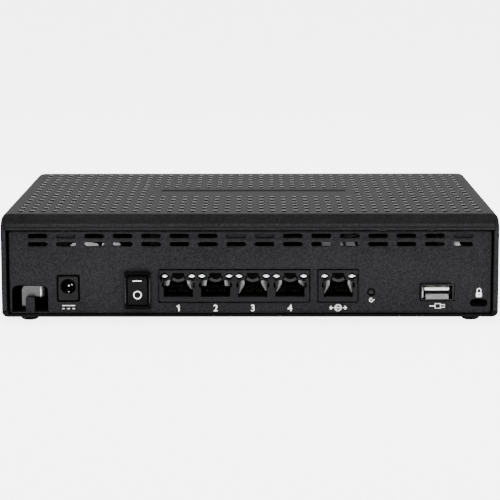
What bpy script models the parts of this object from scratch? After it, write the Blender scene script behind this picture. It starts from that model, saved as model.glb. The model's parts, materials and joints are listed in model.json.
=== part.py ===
"""Desktop wireless router with a full row of rear sockets, as separate parts.

Frame: metres, +Z up, the middle of the foot plane at the origin, the socket
panel facing -Y, +X to the right as the panel is read.  Sizes below are in
millimetres and are turned into metres by the two mesh makers.
"""
import math

import bmesh
import bpy
import numpy as np
from mathutils import Vector

# ---------------------------------------------------------------- driving sizes
WIDTH, HEIGHT = 200.0, 45.0           # over the side walls, floor to roof
BACK_Y, FRONT_Y = -70.0, 66.0         # ends of the roof shell
BOW_Y = 71.67                         # foremost line of the bowed front
FOOT_H = 3.0                          # floor to underside
WALL = 2.0                            # side walls and roof
BASE_TOP = 5.0                        # inner face of the floor tray
LIP_BOTTOM = 38.2                     # lower edge of the roof's rear lip
PANEL_X, PANEL_Z = (-96.9, 97.1), (4.14, 37.75)
PANEL_FACE, PANEL_BACK = -68.4, -66.4
BOARD_Z = (7.1, 8.7)                  # underside and top of the circuit board
ON_BOARD = 9.0                        # where parts on the board start

VENT_FIRST, VENT_PITCH, VENT_COUNT = -85.3, 11.4, 16
VENT_LEN, VENT_H = 7.9, 1.8
VENT_ROWS = (35.77, 32.37)            # middle heights, upper and lower
VENT_BLIND = (1, 7, 8, 15)            # upper slots that are closed

LAN_X, LAN_PITCH, LAN_COUNT = -28.84, 15.01, 4
WAN_X = 35.6
JACK_FACE, JACK_BACK = -69.0, -54.0
LAN_BLOCK = (-36.5, 23.95, 9.05, 21.78)
WAN_BLOCK = (27.63, 43.38, 9.05, 21.78)
PORT_FLOOR, PORT_ROOF, PORT_LATCH = 10.92, 17.89, 20.79
PORT_HALF, PORT_BACK = 5.87, -57.5
LED_OFFSET, LED_W, LED_Z = 5.5, 2.9, (18.6, 20.3)

DC_X, DC_HOLE_Z, DC_HOLE_R = -73.2, 15.3, 3.1
DC_BOX = (-77.71, -68.68, 9.05, 19.84)
SWITCH_X, SWITCH_Z = -45.25, 13.75
SWITCH_FACE = -69.8
ROCKER_PIVOT_Y, ROCKER_TILT = -68.3, 10.0
ROCKER_HALF_W, ROCKER_HALF_H = 3.85, 5.45
RESET_X, RESET_Z, RESET_R = 48.93, 12.8, 1.72
USB_BOX = (68.87, 81.97, 9.61, 16.06)
LOCK_X, LOCK_Z, LOCK_SIZE = 92.3, 8.3, (6.95, 3.35)
NOTCH_X, NOTCH_Z = (-96.0, -81.4), (4.6, 15.65)
FOOT_X, FOOT_Y, FOOT_R = 90.0, 58.0, 4.0
POST_X, POST_Y = 93.0, (-44.0, 50.0)  # the four case screws
BOARD_SCREWS = (("rear_left", -70.0, -34.0), ("rear_right", 62.0, -40.0),
                ("front_left", -70.0, 42.0), ("front_right", 70.0, 42.0))
GAP = 0.3

# ---------------------------------------------------------------- clean start
for old in list(bpy.data.objects):
    bpy.data.objects.remove(old, do_unlink=True)
CUTTERS = bpy.data.collections.new("cutters")
bpy.context.scene.collection.children.link(CUTTERS)


# ---------------------------------------------------------------- materials
def material(name, colour, roughness=0.5, metallic=0.0, alpha=1.0):
    """A Principled material of its own for one sub-part."""
    mat = bpy.data.materials.new(name)
    mat.use_nodes = True
    shader = mat.node_tree.nodes["Principled BSDF"]
    shader.inputs["Base Color"].default_value = (*colour, 1.0)
    shader.inputs["Roughness"].default_value = roughness
    shader.inputs["Metallic"].default_value = metallic
    shader.inputs["Alpha"].default_value = alpha
    mat.diffuse_color = (*colour, alpha)
    return mat


# ---------------------------------------------------------------- solids
def solid(pieces):
    """Join closed pieces, each (points, faces) in millimetres, in one bmesh."""
    bm = bmesh.new()
    for points, faces in pieces:
        verts = [bm.verts.new(Vector(p) * 0.001) for p in points]
        for face in faces:
            bm.faces.new([verts[i] for i in face])
    bmesh.ops.recalc_face_normals(bm, faces=bm.faces[:])
    return bm


def prism(outline, axis, low, high):
    """Extrude a closed outline along X, Y or Z between two values.

    The outline holds the other two coordinates in X, Y, Z order.
    """
    place = {"X": lambda a, b, t: (t, a, b),
             "Y": lambda a, b, t: (a, t, b),
             "Z": lambda a, b, t: (a, b, t)}[axis]
    count = len(outline)
    points = [place(a, b, t) for t in (low, high) for a, b in outline]
    faces = [(i, (i + 1) % count, count + (i + 1) % count, count + i)
             for i in range(count)]
    faces.append(tuple(range(count)))
    faces.append(tuple(range(2 * count - 1, count - 1, -1)))
    return points, faces


def box(x0, x1, y0, y1, z0, z1):
    """A plain block between three pairs of values."""
    return prism([(x0, z0), (x1, z0), (x1, z1), (x0, z1)], "Y", y0, y1)


def lathe(profile, x, y, z, axis="Z", steps=24):
    """Turn (radius, height) stations about a line along an axis at a point."""
    place = {"X": lambda r, s, h: (x + h, y + r, z + s),
             "Y": lambda r, s, h: (x + r, y + h, z + s),
             "Z": lambda r, s, h: (x + r, y + s, z + h)}[axis]
    points, rings = [], []
    for radius, height in profile:
        if radius == 0.0:
            rings.append([len(points)])
            points.append(place(0.0, 0.0, height))
            continue
        rings.append(list(range(len(points), len(points) + steps)))
        for k in range(steps):
            turn = 2.0 * math.pi * k / steps
            points.append(place(radius * math.cos(turn), radius * math.sin(turn), height))
    faces = []
    for low, high in zip(rings, rings[1:]):
        for k in range(steps):
            n = (k + 1) % steps
            if len(low) == 1:
                faces.append((low[0], high[k], high[n]))
            elif len(high) == 1:
                faces.append((low[k], low[n], high[0]))
            else:
                faces.append((low[k], low[n], high[n], high[k]))
    if len(rings[0]) > 1:
        faces.append(tuple(rings[0]))
    if len(rings[-1]) > 1:
        faces.append(tuple(reversed(rings[-1])))
    return points, faces


def rod(x, y, z, radius, low, high, axis="Z", steps=24):
    """A round bar between two heights along its axis."""
    return lathe([(radius, low), (radius, high)], x, y, z, axis, steps)


def rounded(x0, x1, z0, z1, radius, steps=4):
    """Outline of a rectangle with round corners."""
    corners = ((x1 - radius, z1 - radius, 0), (x0 + radius, z1 - radius, 90),
               (x0 + radius, z0 + radius, 180), (x1 - radius, z0 + radius, 270))
    outline = []
    for cx, cz, start in corners:
        for k in range(steps + 1):
            turn = math.radians(start + 90.0 * k / steps)
            outline.append((cx + radius * math.cos(turn), cz + radius * math.sin(turn)))
    return outline


def pipe(stations, radius, steps=8):
    """A round wire swept through a list of points."""
    path = np.array(stations, dtype=float)
    along = np.gradient(path, axis=0)
    along /= np.linalg.norm(along, axis=1)[:, None]
    points, faces = [], []
    side = np.cross(along[0], (0.31, 0.2, 0.93))
    for centre, way in zip(path, along):
        side = side - way * np.dot(side, way)
        side = side / np.linalg.norm(side)
        other = np.cross(way, side)
        for k in range(steps):
            turn = 2.0 * math.pi * k / steps
            ring = side * math.cos(turn) + other * math.sin(turn)
            points.append(tuple(centre + radius * ring))
    for i in range(len(path) - 1):
        for k in range(steps):
            n = (k + 1) % steps
            a, b = i * steps, (i + 1) * steps
            faces.append((a + k, a + n, b + n, b + k))
    faces.append(tuple(range(steps)))
    faces.append(tuple(range(len(points) - 1, len(points) - 1 - steps, -1)))
    return points, faces


def part(name, pieces, mat, bevel=0.0):
    """One named sub-part from closed pieces; the first piece takes the rest."""
    obj = mesh_object(name, pieces[:1], bpy.context.scene.collection)
    obj.data.materials.append(mat)
    for number, piece in enumerate(pieces[1:]):
        boolean(obj, "UNION", [piece], "%s_add_%d" % (name, number))
    if bevel:
        edge = obj.modifiers.new("edge", "BEVEL")
        edge.width = bevel * 0.001
        edge.segments = 1
        edge.limit_method = "ANGLE"
        edge.angle_limit = math.radians(50.0)
    return obj


def mesh_object(name, pieces, collection):
    """Put closed pieces in a new mesh object."""
    bm = solid(pieces)
    mesh = bpy.data.meshes.new(name)
    bm.to_mesh(mesh)
    bm.free()
    obj = bpy.data.objects.new(name, mesh)
    collection.objects.link(obj)
    return obj


def boolean(obj, operation, pieces, name):
    """Cut, keep or add closed pieces with an exact Boolean."""
    tool = mesh_object(name, pieces, CUTTERS)
    tool.hide_render = True
    tool.hide_viewport = True
    tool.display_type = "WIRE"
    step = obj.modifiers.new(name, "BOOLEAN")
    step.operation = operation
    step.solver = "EXACT"
    step.object = tool
    return obj


def cut(obj, pieces):
    """Take pieces, which may not overlap each other, out of a sub-part."""
    number = len(obj.modifiers)
    return boolean(obj, "DIFFERENCE", pieces, "%s_cut_%d" % (obj.name, number))


def cross_screw(name, x, y, head, down, mat):
    """Cross-head screw pointing up (down=False) or down from its head plane."""
    way = -1.0 if down else 1.0
    top = [(0.0, head), (2.1, head), (2.6, head + way * 0.5), (2.6, head + way * 1.5),
           (1.2, head + way * 1.6), (1.2, head + way * (4.4 if down else 9.0)),
           (0.0, head + way * (4.8 if down else 9.6))]
    screw = part(name, [lathe(top, x, y, 0.0, steps=16)], mat)
    low, high = sorted((head - way * 0.4, head + way * 0.9))
    arm = box(x - 1.4, x + 1.4, y - 0.28, y + 0.28, low, high)
    other = box(x - 0.28, x + 0.28, y - 1.4, y + 1.4, low, high)
    cut(screw, [arm])
    cut(screw, [other])
    return screw


# ---------------------------------------------------------------- palette
SHELL = (0.035, 0.034, 0.035)
PANEL = (0.030, 0.030, 0.032)
BLACK = (0.012, 0.012, 0.013)
STEEL = (0.55, 0.56, 0.58)
GOLD = (0.83, 0.62, 0.24)
CLEAR = (0.86, 0.88, 0.86)

half = WIDTH / 2.0
inner = half - WALL

# ---------------------------------------------------------------- roof shell
roof_outline = [
    (-half, BASE_TOP + 0.5), (-half, 38.0), (-99.85, 40.6), (-99.55, 42.8),
    (-99.1, 44.0), (-98.2, 44.75), (-96.8, HEIGHT), (96.8, HEIGHT), (98.2, 44.75),
    (99.1, 44.0), (99.55, 42.8), (99.85, 40.6), (half, 38.0), (half, BASE_TOP + 0.5),
    (inner, BASE_TOP + 0.5), (inner, 41.4), (97.0, HEIGHT - WALL),
    (-97.0, HEIGHT - WALL), (-inner, 41.4), (-inner, BASE_TOP + 0.5)]
top_cover = part("top_cover", [prism(roof_outline, "Y", BACK_Y, FRONT_Y)],
                 material("cover_plastic", SHELL, 0.45))
lip = [(BACK_Y, LIP_BOTTOM + 0.35), (BACK_Y + 0.35, LIP_BOTTOM),
       (BACK_Y + 1.5, LIP_BOTTOM), (BACK_Y + 1.5, 43.6), (BACK_Y, 43.6)]
boolean(top_cover, "UNION", [prism(lip, "X", -98.5, 98.5)], "cover_lip")
posts = [rod(sx * POST_X, y, 0.0, 3.2, 8.2, 43.6, steps=16)
         for sx in (-1, 1) for y in POST_Y]
boolean(top_cover, "UNION", posts, "cover_posts")
cut(top_cover, [rod(sx * POST_X, y, 0.0, 1.35, 7.0, 16.0, steps=16)
                for sx in (-1, 1) for y in POST_Y])

# ---------------------------------------------------------------- floor tray
under = [(-half + 2.4, FOOT_H), (half - 2.4, FOOT_H), (half - 1.2, FOOT_H + 0.32),
         (half - 0.32, FOOT_H + 1.1), (half, BASE_TOP + 0.2), (-half, BASE_TOP + 0.2),
         (-half + 0.32, FOOT_H + 1.1), (-half + 1.2, FOOT_H + 0.32)]
base_tray = part("base_tray", [prism(under, "Y", BACK_Y, FRONT_Y)],
                 material("base_plastic", BLACK, 0.6))
cut(base_tray, [box(-97.5, 97.5, BACK_Y - 1.0, PANEL_BACK + GAP, 3.85, 7.0)])
bosses = [rod(x, y, 0.0, 3.2, BASE_TOP - 0.4, BOARD_Z[0] - GAP, steps=12)
          for name, x, y in BOARD_SCREWS]
rings = [rod(sx * POST_X, y, 0.0, 4.0, BASE_TOP - 0.4, 7.6, steps=12)
         for sx in (-1, 1) for y in POST_Y]
boolean(base_tray, "UNION", bosses + rings, "tray_bosses")
cut(base_tray, [rod(x, y, 0.0, 1.35, 4.0, 9.0, steps=12) for name, x, y in BOARD_SCREWS]
    + [lathe([(2.9, 2.0), (2.9, 5.3), (1.5, 5.31), (1.5, 9.0)],
             sx * POST_X, y, 0.0, steps=12) for sx in (-1, 1) for y in POST_Y]
    + [rod(sx * FOOT_X, sy * FOOT_Y, 0.0, 1.75, 2.0, 6.5, steps=12)
       for sx in (-1, 1) for sy in (-1, 1)])
slots = [box(x - 1.1, x + 1.1, -12.0, 12.0, 2.0, 6.0)
         for x in (-42.0, -34.0, -26.0, -18.0, 18.0, 26.0, 34.0, 42.0)]
keyhole = [(4.0 * math.cos(math.radians(a)), 4.0 * math.sin(math.radians(a)))
           for a in range(-240, 61, 20)]
keyhole += [(2.0, 8.0), (1.4, 9.4), (0.0, 10.0), (-1.4, 9.4), (-2.0, 8.0)]
keys = [prism([(x + a, 22.0 + b) for a, b in keyhole], "Z", 2.0, 6.0) for x in (-50.0, 50.0)]
cut(base_tray, slots + keys)

# ---------------------------------------------------------------- rear panel
rear_panel = part("rear_panel", [prism([
    (PANEL_X[0] + 1.0, PANEL_Z[0]), (PANEL_X[1] - 1.0, PANEL_Z[0]),
    (PANEL_X[1], PANEL_Z[0] + 1.0), (PANEL_X[1], PANEL_Z[1] - 1.0),
    (PANEL_X[1] - 1.0, PANEL_Z[1]), (PANEL_X[0] + 1.0, PANEL_Z[1]),
    (PANEL_X[0], PANEL_Z[1] - 1.0), (PANEL_X[0], PANEL_Z[0] + 1.0)],
    "Y", PANEL_FACE, PANEL_BACK)], material("panel_plastic", PANEL, 0.5), bevel=0.35)
before, behind = PANEL_FACE - 1.0, PANEL_BACK + 1.0
vent_cuts = []
for row, height in enumerate(VENT_ROWS):
    for column in range(VENT_COUNT):
        middle = VENT_FIRST + VENT_PITCH * column
        closed = row == 0 and column in VENT_BLIND
        end = PANEL_FACE + 0.7 if closed else behind
        slot = rounded(middle - VENT_LEN / 2, middle + VENT_LEN / 2,
                       height - VENT_H / 2, height + VENT_H / 2, VENT_H / 2 - 0.02, 2)
        vent_cuts.append(prism(slot, "Y", before, end))
cut(rear_panel, vent_cuts)
clear = 0.25
windows = [box(x0 - clear, x1 + clear, before, behind, z0 - clear, z1 + clear)
           for x0, x1, z0, z1 in (LAN_BLOCK, WAN_BLOCK, DC_BOX)]
windows.append(box(SWITCH_X - 5.0, SWITCH_X + 5.0, before, behind, 7.0, 20.5))
windows.append(prism(rounded(USB_BOX[0] - clear, USB_BOX[1] + clear, USB_BOX[2] - clear,
                             USB_BOX[3] + clear, 0.8, 2), "Y", before, behind))
windows.append(rod(RESET_X, 0.0, RESET_Z, RESET_R, before, behind, "Y", 24))
windows.append(prism(rounded(LOCK_X - LOCK_SIZE[0] / 2, LOCK_X + LOCK_SIZE[0] / 2,
                             LOCK_Z - LOCK_SIZE[1] / 2, LOCK_Z + LOCK_SIZE[1] / 2, 0.9, 3),
                     "Y", before, behind))
notch = [(NOTCH_X[0], NOTCH_Z[0]), (-90.5, NOTCH_Z[0]), (-90.5, 10.3), (-90.2, 10.6),
         (-87.2, 10.6), (-86.9, 10.3), (-86.9, NOTCH_Z[0]), (NOTCH_X[1], NOTCH_Z[0]),
         (NOTCH_X[1], 12.4), (-81.65, 13.8), (-82.4, 14.9), (-83.4, 15.45),
         (-84.5, NOTCH_Z[1]), (-93.0, NOTCH_Z[1]), (-94.2, 15.4), (-95.2, 14.8),
         (-95.8, 13.8), (NOTCH_X[0], 12.6)]
windows.append(prism(notch, "Y", before, behind))
cut(rear_panel, windows)

# ---------------------------------------------------------------- front face
bow = [(FRONT_Y + GAP, FOOT_H), (69.4, FOOT_H), (70.6, 5.0), (71.35, 12.0),
       (BOW_Y, 22.0), (71.5, 32.0), (70.95, 40.0), (70.2, 44.1), (69.4, HEIGHT),
       (FRONT_Y + GAP, HEIGHT)]
front_bezel = part("front_bezel", [prism(bow, "X", -half, half)],
                   material("bezel_plastic", BLACK, 0.25))
plan = [(-half, 60.0), (half, 60.0), (half, 68.2), (99.4, 69.9), (98.3, 71.0),
        (96.6, 72.4), (-96.6, 72.4), (-98.3, 71.0), (-99.4, 69.9), (-half, 68.2)]
boolean(front_bezel, "INTERSECT", [prism(plan, "Z", -5.0, 50.0)], "bezel_plan")
cut(front_bezel, [box(-97.5, 97.5, 64.0, 68.6, 6.0, 42.5)])
LIGHTS = [-48.0 + 12.0 * k for k in range(9)]
cut(front_bezel, [box(x - 1.9, x + 1.9, 67.0, 73.0, 21.0, 22.9) for x in LIGHTS])

comb = [(-52.0, 58.0), (52.0, 58.0), (52.0, 62.0)]
for x in reversed(LIGHTS):
    comb += [(x + 1.65, 62.0), (x + 1.65, 71.45), (x - 1.65, 71.45), (x - 1.65, 62.0)]
comb.append((-52.0, 62.0))
front_light_pipe = part("front_light_pipe", [
    prism(comb, "Z", 21.25, 22.65),
    box(-47.0, -43.0, 58.4, 61.6, 5.3, 21.6), box(43.0, 47.0, 58.4, 61.6, 5.3, 21.6)],
    material("front_pipe_clear", CLEAR, 0.15, alpha=0.6))

# ---------------------------------------------------------------- feet and case screws
foot_profile = [(2.4, 0.0), (3.3, 0.35), (3.85, 1.2), (FOOT_R, 2.2), (3.9, 2.75),
                (1.55, 2.76), (1.55, 5.0)]
SIDES = (("left", -1), ("right", 1))
for end, sy in (("rear", -1), ("front", 1)):
    for side, sx in SIDES:
        part("foot_%s_%s" % (end, side),
             [lathe(foot_profile, sx * FOOT_X, sy * FOOT_Y, 0.0, steps=16)],
             material("foot_rubber_%s_%s" % (end, side), (0.02, 0.02, 0.02), 0.8))
for end, y in (("rear", POST_Y[0]), ("front", POST_Y[1])):
    for side, sx in SIDES:
        cross_screw("case_screw_%s_%s" % (end, side), sx * POST_X, y, 3.5, False,
                    material("case_screw_steel_%s_%s" % (end, side), STEEL, 0.35, 1.0))

# ---------------------------------------------------------------- circuit board
board = [(-79.0, -65.6), (-52.0, -65.6), (-52.0, -46.0), (-38.6, -46.0), (-38.6, -65.6),
         (85.5, -65.6), (85.5, 55.0), (-85.5, 55.0), (-85.5, -50.0), (-79.0, -50.0)]
main_board = part("main_board", [prism(board, "Z", BOARD_Z[0], BOARD_Z[1])],
                  material("board_laminate", (0.02, 0.13, 0.06), 0.4))
cut(main_board, [rod(x, y, 0.0, 1.6, 6.0, 10.0, steps=16) for name, x, y in BOARD_SCREWS])
for name, x, y in BOARD_SCREWS:
    cross_screw("board_screw_" + name, x, y, 10.35, True,
                material("board_screw_steel_" + name, STEEL, 0.35, 1.0))


# ---------------------------------------------------------------- network sockets
def port_cavity(x):
    """Outline of one network socket's mouth, with its latch and side notches."""
    right = [(PORT_HALF, PORT_FLOOR), (PORT_HALF, 14.6), (6.65, 15.1), (6.65, 16.5),
             (PORT_HALF, 17.0), (PORT_HALF, PORT_ROOF), (3.05, PORT_ROOF), (3.05, 19.35),
             (2.42, 19.35), (2.42, PORT_LATCH)]
    outline = [(x + a, b) for a, b in right]
    outline += [(x - a, b) for a, b in reversed(right)]
    return outline


def network_jack(prefix, block, centres):
    """Housing, sheet shield, light pipe and gold contacts of a socket block."""
    x0, x1, z0, z1 = block
    housing = part(prefix + "_jack_housing", [box(x0, x1, JACK_FACE, JACK_BACK, z0, z1)],
                   material(prefix + "_jack_plastic", BLACK, 0.4))
    cut(housing, [prism(port_cavity(x), "Y", JACK_FACE - 1.0, PORT_BACK) for x in centres])
    cut(housing, [box(x - 4.5, x + 4.5, PORT_BACK - 0.2, -54.7, 13.5, 15.7) for x in centres])
    lamps = [x + s * LED_OFFSET for x in centres for s in (-1, 1)]
    grown = LED_W / 2 + 0.12
    cut(housing, [box(x - grown, x + grown, JACK_FACE - 1.0, JACK_BACK + 1.0,
                      LED_Z[0] - 0.12, LED_Z[1] + 0.12) for x in lamps])
    side = [(x0 - 0.6, ON_BOARD), (x0 - 0.6, z1 + 0.6), (x1 + 0.6, z1 + 0.6),
            (x1 + 0.6, ON_BOARD), (x1 + 0.25, ON_BOARD), (x1 + 0.25, z1 + 0.25),
            (x0 - 0.25, z1 + 0.25), (x0 - 0.25, ON_BOARD)]
    part(prefix + "_jack_shield", [prism(side, "Y", PANEL_BACK + GAP, -52.6)],
         material(prefix + "_shield_steel", STEEL, 0.3, 1.0))
    teeth = [(x0 + 0.5, -52.9), (x0 + 0.5, -53.8)]
    for x in lamps:
        teeth += [(x - LED_W / 2, -53.8), (x - LED_W / 2, JACK_FACE + 0.1),
                  (x + LED_W / 2, JACK_FACE + 0.1), (x + LED_W / 2, -53.8)]
    teeth += [(x1 - 0.5, -53.8), (x1 - 0.5, -52.9)]
    part(prefix + "_light_pipe", [prism(teeth, "Z", LED_Z[0], LED_Z[1])],
         material(prefix + "_pipe_clear", CLEAR, 0.15, alpha=0.6))
    for number, x in enumerate(centres):
        name = prefix + "_contacts" + ("_%d" % (number + 1) if len(centres) > 1 else "")
        contact_comb(name, x)


def contact_comb(name, x):
    """Eight springy contact fingers on one strip, sloping up to the back."""
    outline = [(x - 4.2, 0.0), (x + 4.2, 0.0), (x + 4.2, -1.6)]
    for k in range(7, -1, -1):
        middle = x - 3.57 + 1.02 * k
        outline += [(middle + 0.25, -1.6), (middle + 0.25, -9.8),
                    (middle - 0.25, -9.8), (middle - 0.25, -1.6)]
    outline.append((x - 4.2, -1.6))
    points, faces = prism(outline, "Z", -0.15, 0.15)
    tilt = math.radians(20.0)
    turned = [(px, -55.1 + py * math.cos(tilt) - pz * math.sin(tilt),
               15.2 + py * math.sin(tilt) + pz * math.cos(tilt)) for px, py, pz in points]
    part(name, [(turned, faces)], material(name + "_gold", GOLD, 0.25, 1.0))


network_jack("lan", LAN_BLOCK, [LAN_X + LAN_PITCH * k for k in range(LAN_COUNT)])
network_jack("wan", WAN_BLOCK, [WAN_X])

# ---------------------------------------------------------------- power inlet
dc = part("dc_jack_housing", [box(DC_BOX[0], DC_BOX[1], JACK_FACE, -55.0,
                                  DC_BOX[2], DC_BOX[3])],
          material("dc_jack_plastic", BLACK, 0.4))
cut(dc, [rod(DC_X, 0.0, DC_HOLE_Z, DC_HOLE_R, JACK_FACE - 1.0, -59.2, "Y", 32)])
cut(dc, [box(DC_X - 1.2, DC_X + 1.2, -66.4, -58.6, 11.2, 13.4)])
cut(dc, [rod(DC_X, 0.0, DC_HOLE_Z, 1.25, -60.0, -54.0, "Y", 16)])
part("dc_jack_pin", [lathe([(0.0, -66.9), (0.6, -66.75), (1.0, -66.2), (1.0, -54.7),
                            (1.9, -54.6), (1.9, -53.8), (0.0, -53.8)],
                           DC_X, 0.0, DC_HOLE_Z, "Y", 20)],
     material("dc_pin_steel", STEEL, 0.2, 1.0))
leaf = [(-66.1, 11.5), (-65.9, 11.5), (-63.2, 12.75), (-60.4, 11.9), (-59.0, 11.9),
        (-59.0, 12.15), (-60.3, 12.15), (-63.2, 13.05), (-66.1, 11.85)]
part("dc_jack_spring", [prism(leaf, "X", DC_X - 0.8, DC_X + 0.8)],
     material("dc_spring_steel", STEEL, 0.25, 1.0))

# ---------------------------------------------------------------- power switch
switch = part("switch_housing", [
    prism(rounded(SWITCH_X - 5.25, SWITCH_X + 5.25, 6.05, 21.45, 0.5, 2), "Y",
          SWITCH_FACE, PANEL_FACE - 0.1),
    box(SWITCH_X - 4.75, SWITCH_X + 4.75, PANEL_FACE - 0.6, -56.0, 7.2, 20.3)],
    material("switch_plastic", BLACK, 0.3))
cut(switch, [box(SWITCH_X - 4.05, SWITCH_X + 4.05, -72.0, -61.0,
                 SWITCH_Z - 6.25, SWITCH_Z + 6.25)])
cut(switch, [rod(0.0, ROCKER_PIVOT_Y, SWITCH_Z, 1.0, SWITCH_X - 4.55, SWITCH_X + 4.55,
                 "X", 16)])
cut(switch, [box(SWITCH_X - 0.7, SWITCH_X + 0.7, -58.2, -55.0, z - 2.3, z + 2.3)
             for z in (10.2, 17.3)])
for name, z in (("lower", 10.2), ("upper", 17.3)):
    part("switch_terminal_" + name,
         [box(SWITCH_X - 0.4, SWITCH_X + 0.4, -57.9, -50.0, z - 2.0, z + 2.0)],
         material("switch_terminal_brass_" + name, GOLD, 0.3, 1.0))

rock = [(-2.46, -ROCKER_HALF_H), (-1.9, -2.9), (-1.55, -1.2), (-1.5, 0.0), (-1.55, 1.2),
        (-1.9, 2.9), (-2.46, ROCKER_HALF_H), (-1.3, 5.83), (0.0, 5.98), (1.2, 5.86),
        (2.2, 5.5), (2.6, 3.6), (5.2, 1.2), (5.2, -1.2), (2.6, -3.6), (2.2, -5.5),
        (1.2, -5.86), (0.0, -5.98), (-1.3, -5.83)]
lean = math.radians(ROCKER_TILT)
tilted = [(y * math.cos(lean) - z * math.sin(lean), y * math.sin(lean) + z * math.cos(lean))
          for y, z in rock]
rocker = part("power_rocker", [prism(tilted, "X", -ROCKER_HALF_W, ROCKER_HALF_W),
                               rod(0.0, 0.0, 0.0, 0.93, -4.45, 4.45, "X", 16)],
              material("rocker_plastic", BLACK, 0.25))
rocker.location = Vector((SWITCH_X, ROCKER_PIVOT_Y, SWITCH_Z)) * 0.001
bpy.data.objects["power_rocker_add_0"].location = rocker.location

# ---------------------------------------------------------------- USB socket
ux0, ux1, uz0, uz1 = USB_BOX
usb = part("usb_shell", [prism(rounded(ux0, ux1, uz0, uz1, 0.6, 2), "Y", -69.3, -54.0)],
           material("usb_steel", STEEL, 0.25, 1.0))
cut(usb, [prism(rounded(ux0 + 0.35, ux1 - 0.35, uz0 + 0.35, uz1 - 0.35, 0.4, 2), "Y",
                -71.0, -54.35)])
part("usb_tongue", [box(ux0 + 0.55, ux1 - 0.55, -58.0, -54.6, uz0 + 0.55, uz1 - 0.55),
                    box(ux0 + 1.2, ux1 - 1.2, -68.5, -57.0, 13.05, 14.85)],
     material("usb_insert_white", (0.75, 0.75, 0.73), 0.4))

# ---------------------------------------------------------------- reset button
button = part("reset_button", [lathe([(0.0, 0.0), (1.15, 0.0), (1.4, 0.25), (1.4, 1.4),
                                      (2.2, 1.41), (2.2, 2.4), (1.0, 2.41), (1.0, 8.3),
                                      (0.0, 8.3)], 0.0, 0.0, 0.0, "Y", 20)],
              material("reset_plastic", (0.02, 0.02, 0.02), 0.35))
button.location = Vector((RESET_X, -67.6, RESET_Z)) * 0.001
reset_switch = part("reset_switch", [box(RESET_X - 3.0, RESET_X + 3.0, -61.5, -55.0,
                                         ON_BOARD, 16.4)],
                    material("reset_switch_plastic", (0.03, 0.03, 0.03), 0.5), bevel=0.3)
cut(reset_switch, [rod(RESET_X, 0.0, RESET_Z, 1.1, -63.0, -58.1, "Y", 20)])

# ---------------------------------------------------------------- cord hook and lock
pocket = part("cord_pocket", [box(-97.2, -80.2, -66.1, -55.0, 5.35, 17.0)],
              material("pocket_plastic", BLACK, 0.6))
cut(pocket, [box(-96.2, -81.2, -68.0, -56.0, 6.3, 16.1)])
hook = [(-92.4, 7.05), (-90.7, 7.05), (-90.7, 11.0), (-83.0, 11.0), (-83.0, 15.3),
        (-92.4, 15.3)]
part("cord_hook", [prism(hook, "Y", -64.6, -63.6),
                   box(-83.8, -82.6, -64.6, -56.4, 11.0, 15.3)],
     material("hook_metal", (0.55, 0.55, 0.55), 0.4, 0.6))
lock = part("lock_bracket", [box(86.4, 96.9, -66.1, -64.9, 5.4, 16.5)],
            material("lock_steel", STEEL, 0.35, 1.0))
cut(lock, [prism(rounded(LOCK_X - 3.55, LOCK_X + 3.55, LOCK_Z - 1.75, LOCK_Z + 1.75, 0.9, 3),
                 "Y", -67.0, -64.0)])

# ---------------------------------------------------------------- parts on the board
part("processor", [box(31.0, 49.0, -28.5, -10.5, ON_BOARD, 10.6)],
     material("processor_resin", (0.02, 0.02, 0.02), 0.5), bevel=0.3)
SINK = (30.5, 49.5, -29.0, -10.0, 10.9, 25.8)
heatsink = part("heatsink", [box(*SINK)],
                material("heatsink_aluminium", (0.7, 0.71, 0.72), 0.35, 1.0))
gaps = [3.55 + 5.15 * k for k in range(3)]     # a grid of 16 square pins
cut(heatsink, [box(SINK[0] + g, SINK[0] + g + 1.6, -30.0, -9.0, 13.0, 27.0) for g in gaps])
cut(heatsink, [box(29.0, 51.0, SINK[2] + g, SINK[2] + g + 1.6, 13.0, 27.0) for g in gaps])
for name, x0, x1, y0, y1 in (("left", -50.0, -18.0, -8.0, 22.0),
                             ("right", -12.0, 20.0, -8.0, 22.0)):
    can = part("radio_shield_" + name, [box(x0, x1, y0, y1, ON_BOARD, 12.8)],
               material("radio_shield_steel_" + name, STEEL, 0.3, 1.0))
    cut(can, [box(x0 + 0.4, x1 - 0.4, y0 + 0.4, y1 - 0.4, ON_BOARD - 1.0, 12.4)])
for name, x0, x1 in (("lan", -22.0, 8.0), ("wan", 28.0, 42.0)):
    part(name + "_magnetics", [box(x0, x1, -46.0, -36.0, ON_BOARD, 15.0)],
         material(name + "_magnetics_resin", (0.03, 0.03, 0.035), 0.45), bevel=0.6)
for name, x, y, radius, top in (("bulk", -68.3, -47.0, 5.9, 28.8),
                                ("input", -57.4, -45.0, 3.9, 28.8),
                                ("output", -54.5, -33.0, 2.5, 20.0)):
    can = [(radius - 0.3, ON_BOARD), (radius, ON_BOARD + 0.4), (radius, ON_BOARD + 1.6),
           (radius - 0.3, ON_BOARD + 2.0), (radius, ON_BOARD + 2.4), (radius, top - 0.4),
           (radius - 0.4, top)]
    part("capacitor_" + name, [lathe(can, x, y, 0.0, steps=16)],
         material("capacitor_sleeve_" + name, (0.5, 0.52, 0.55), 0.3, 0.8))
part("power_inductor", [lathe([(4.2, ON_BOARD), (4.6, 9.5), (4.6, 14.4), (4.0, 14.9)],
                              -64.0, -24.0, 0.0, steps=20)],
     material("inductor_ferrite", (0.06, 0.06, 0.06), 0.6))

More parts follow.
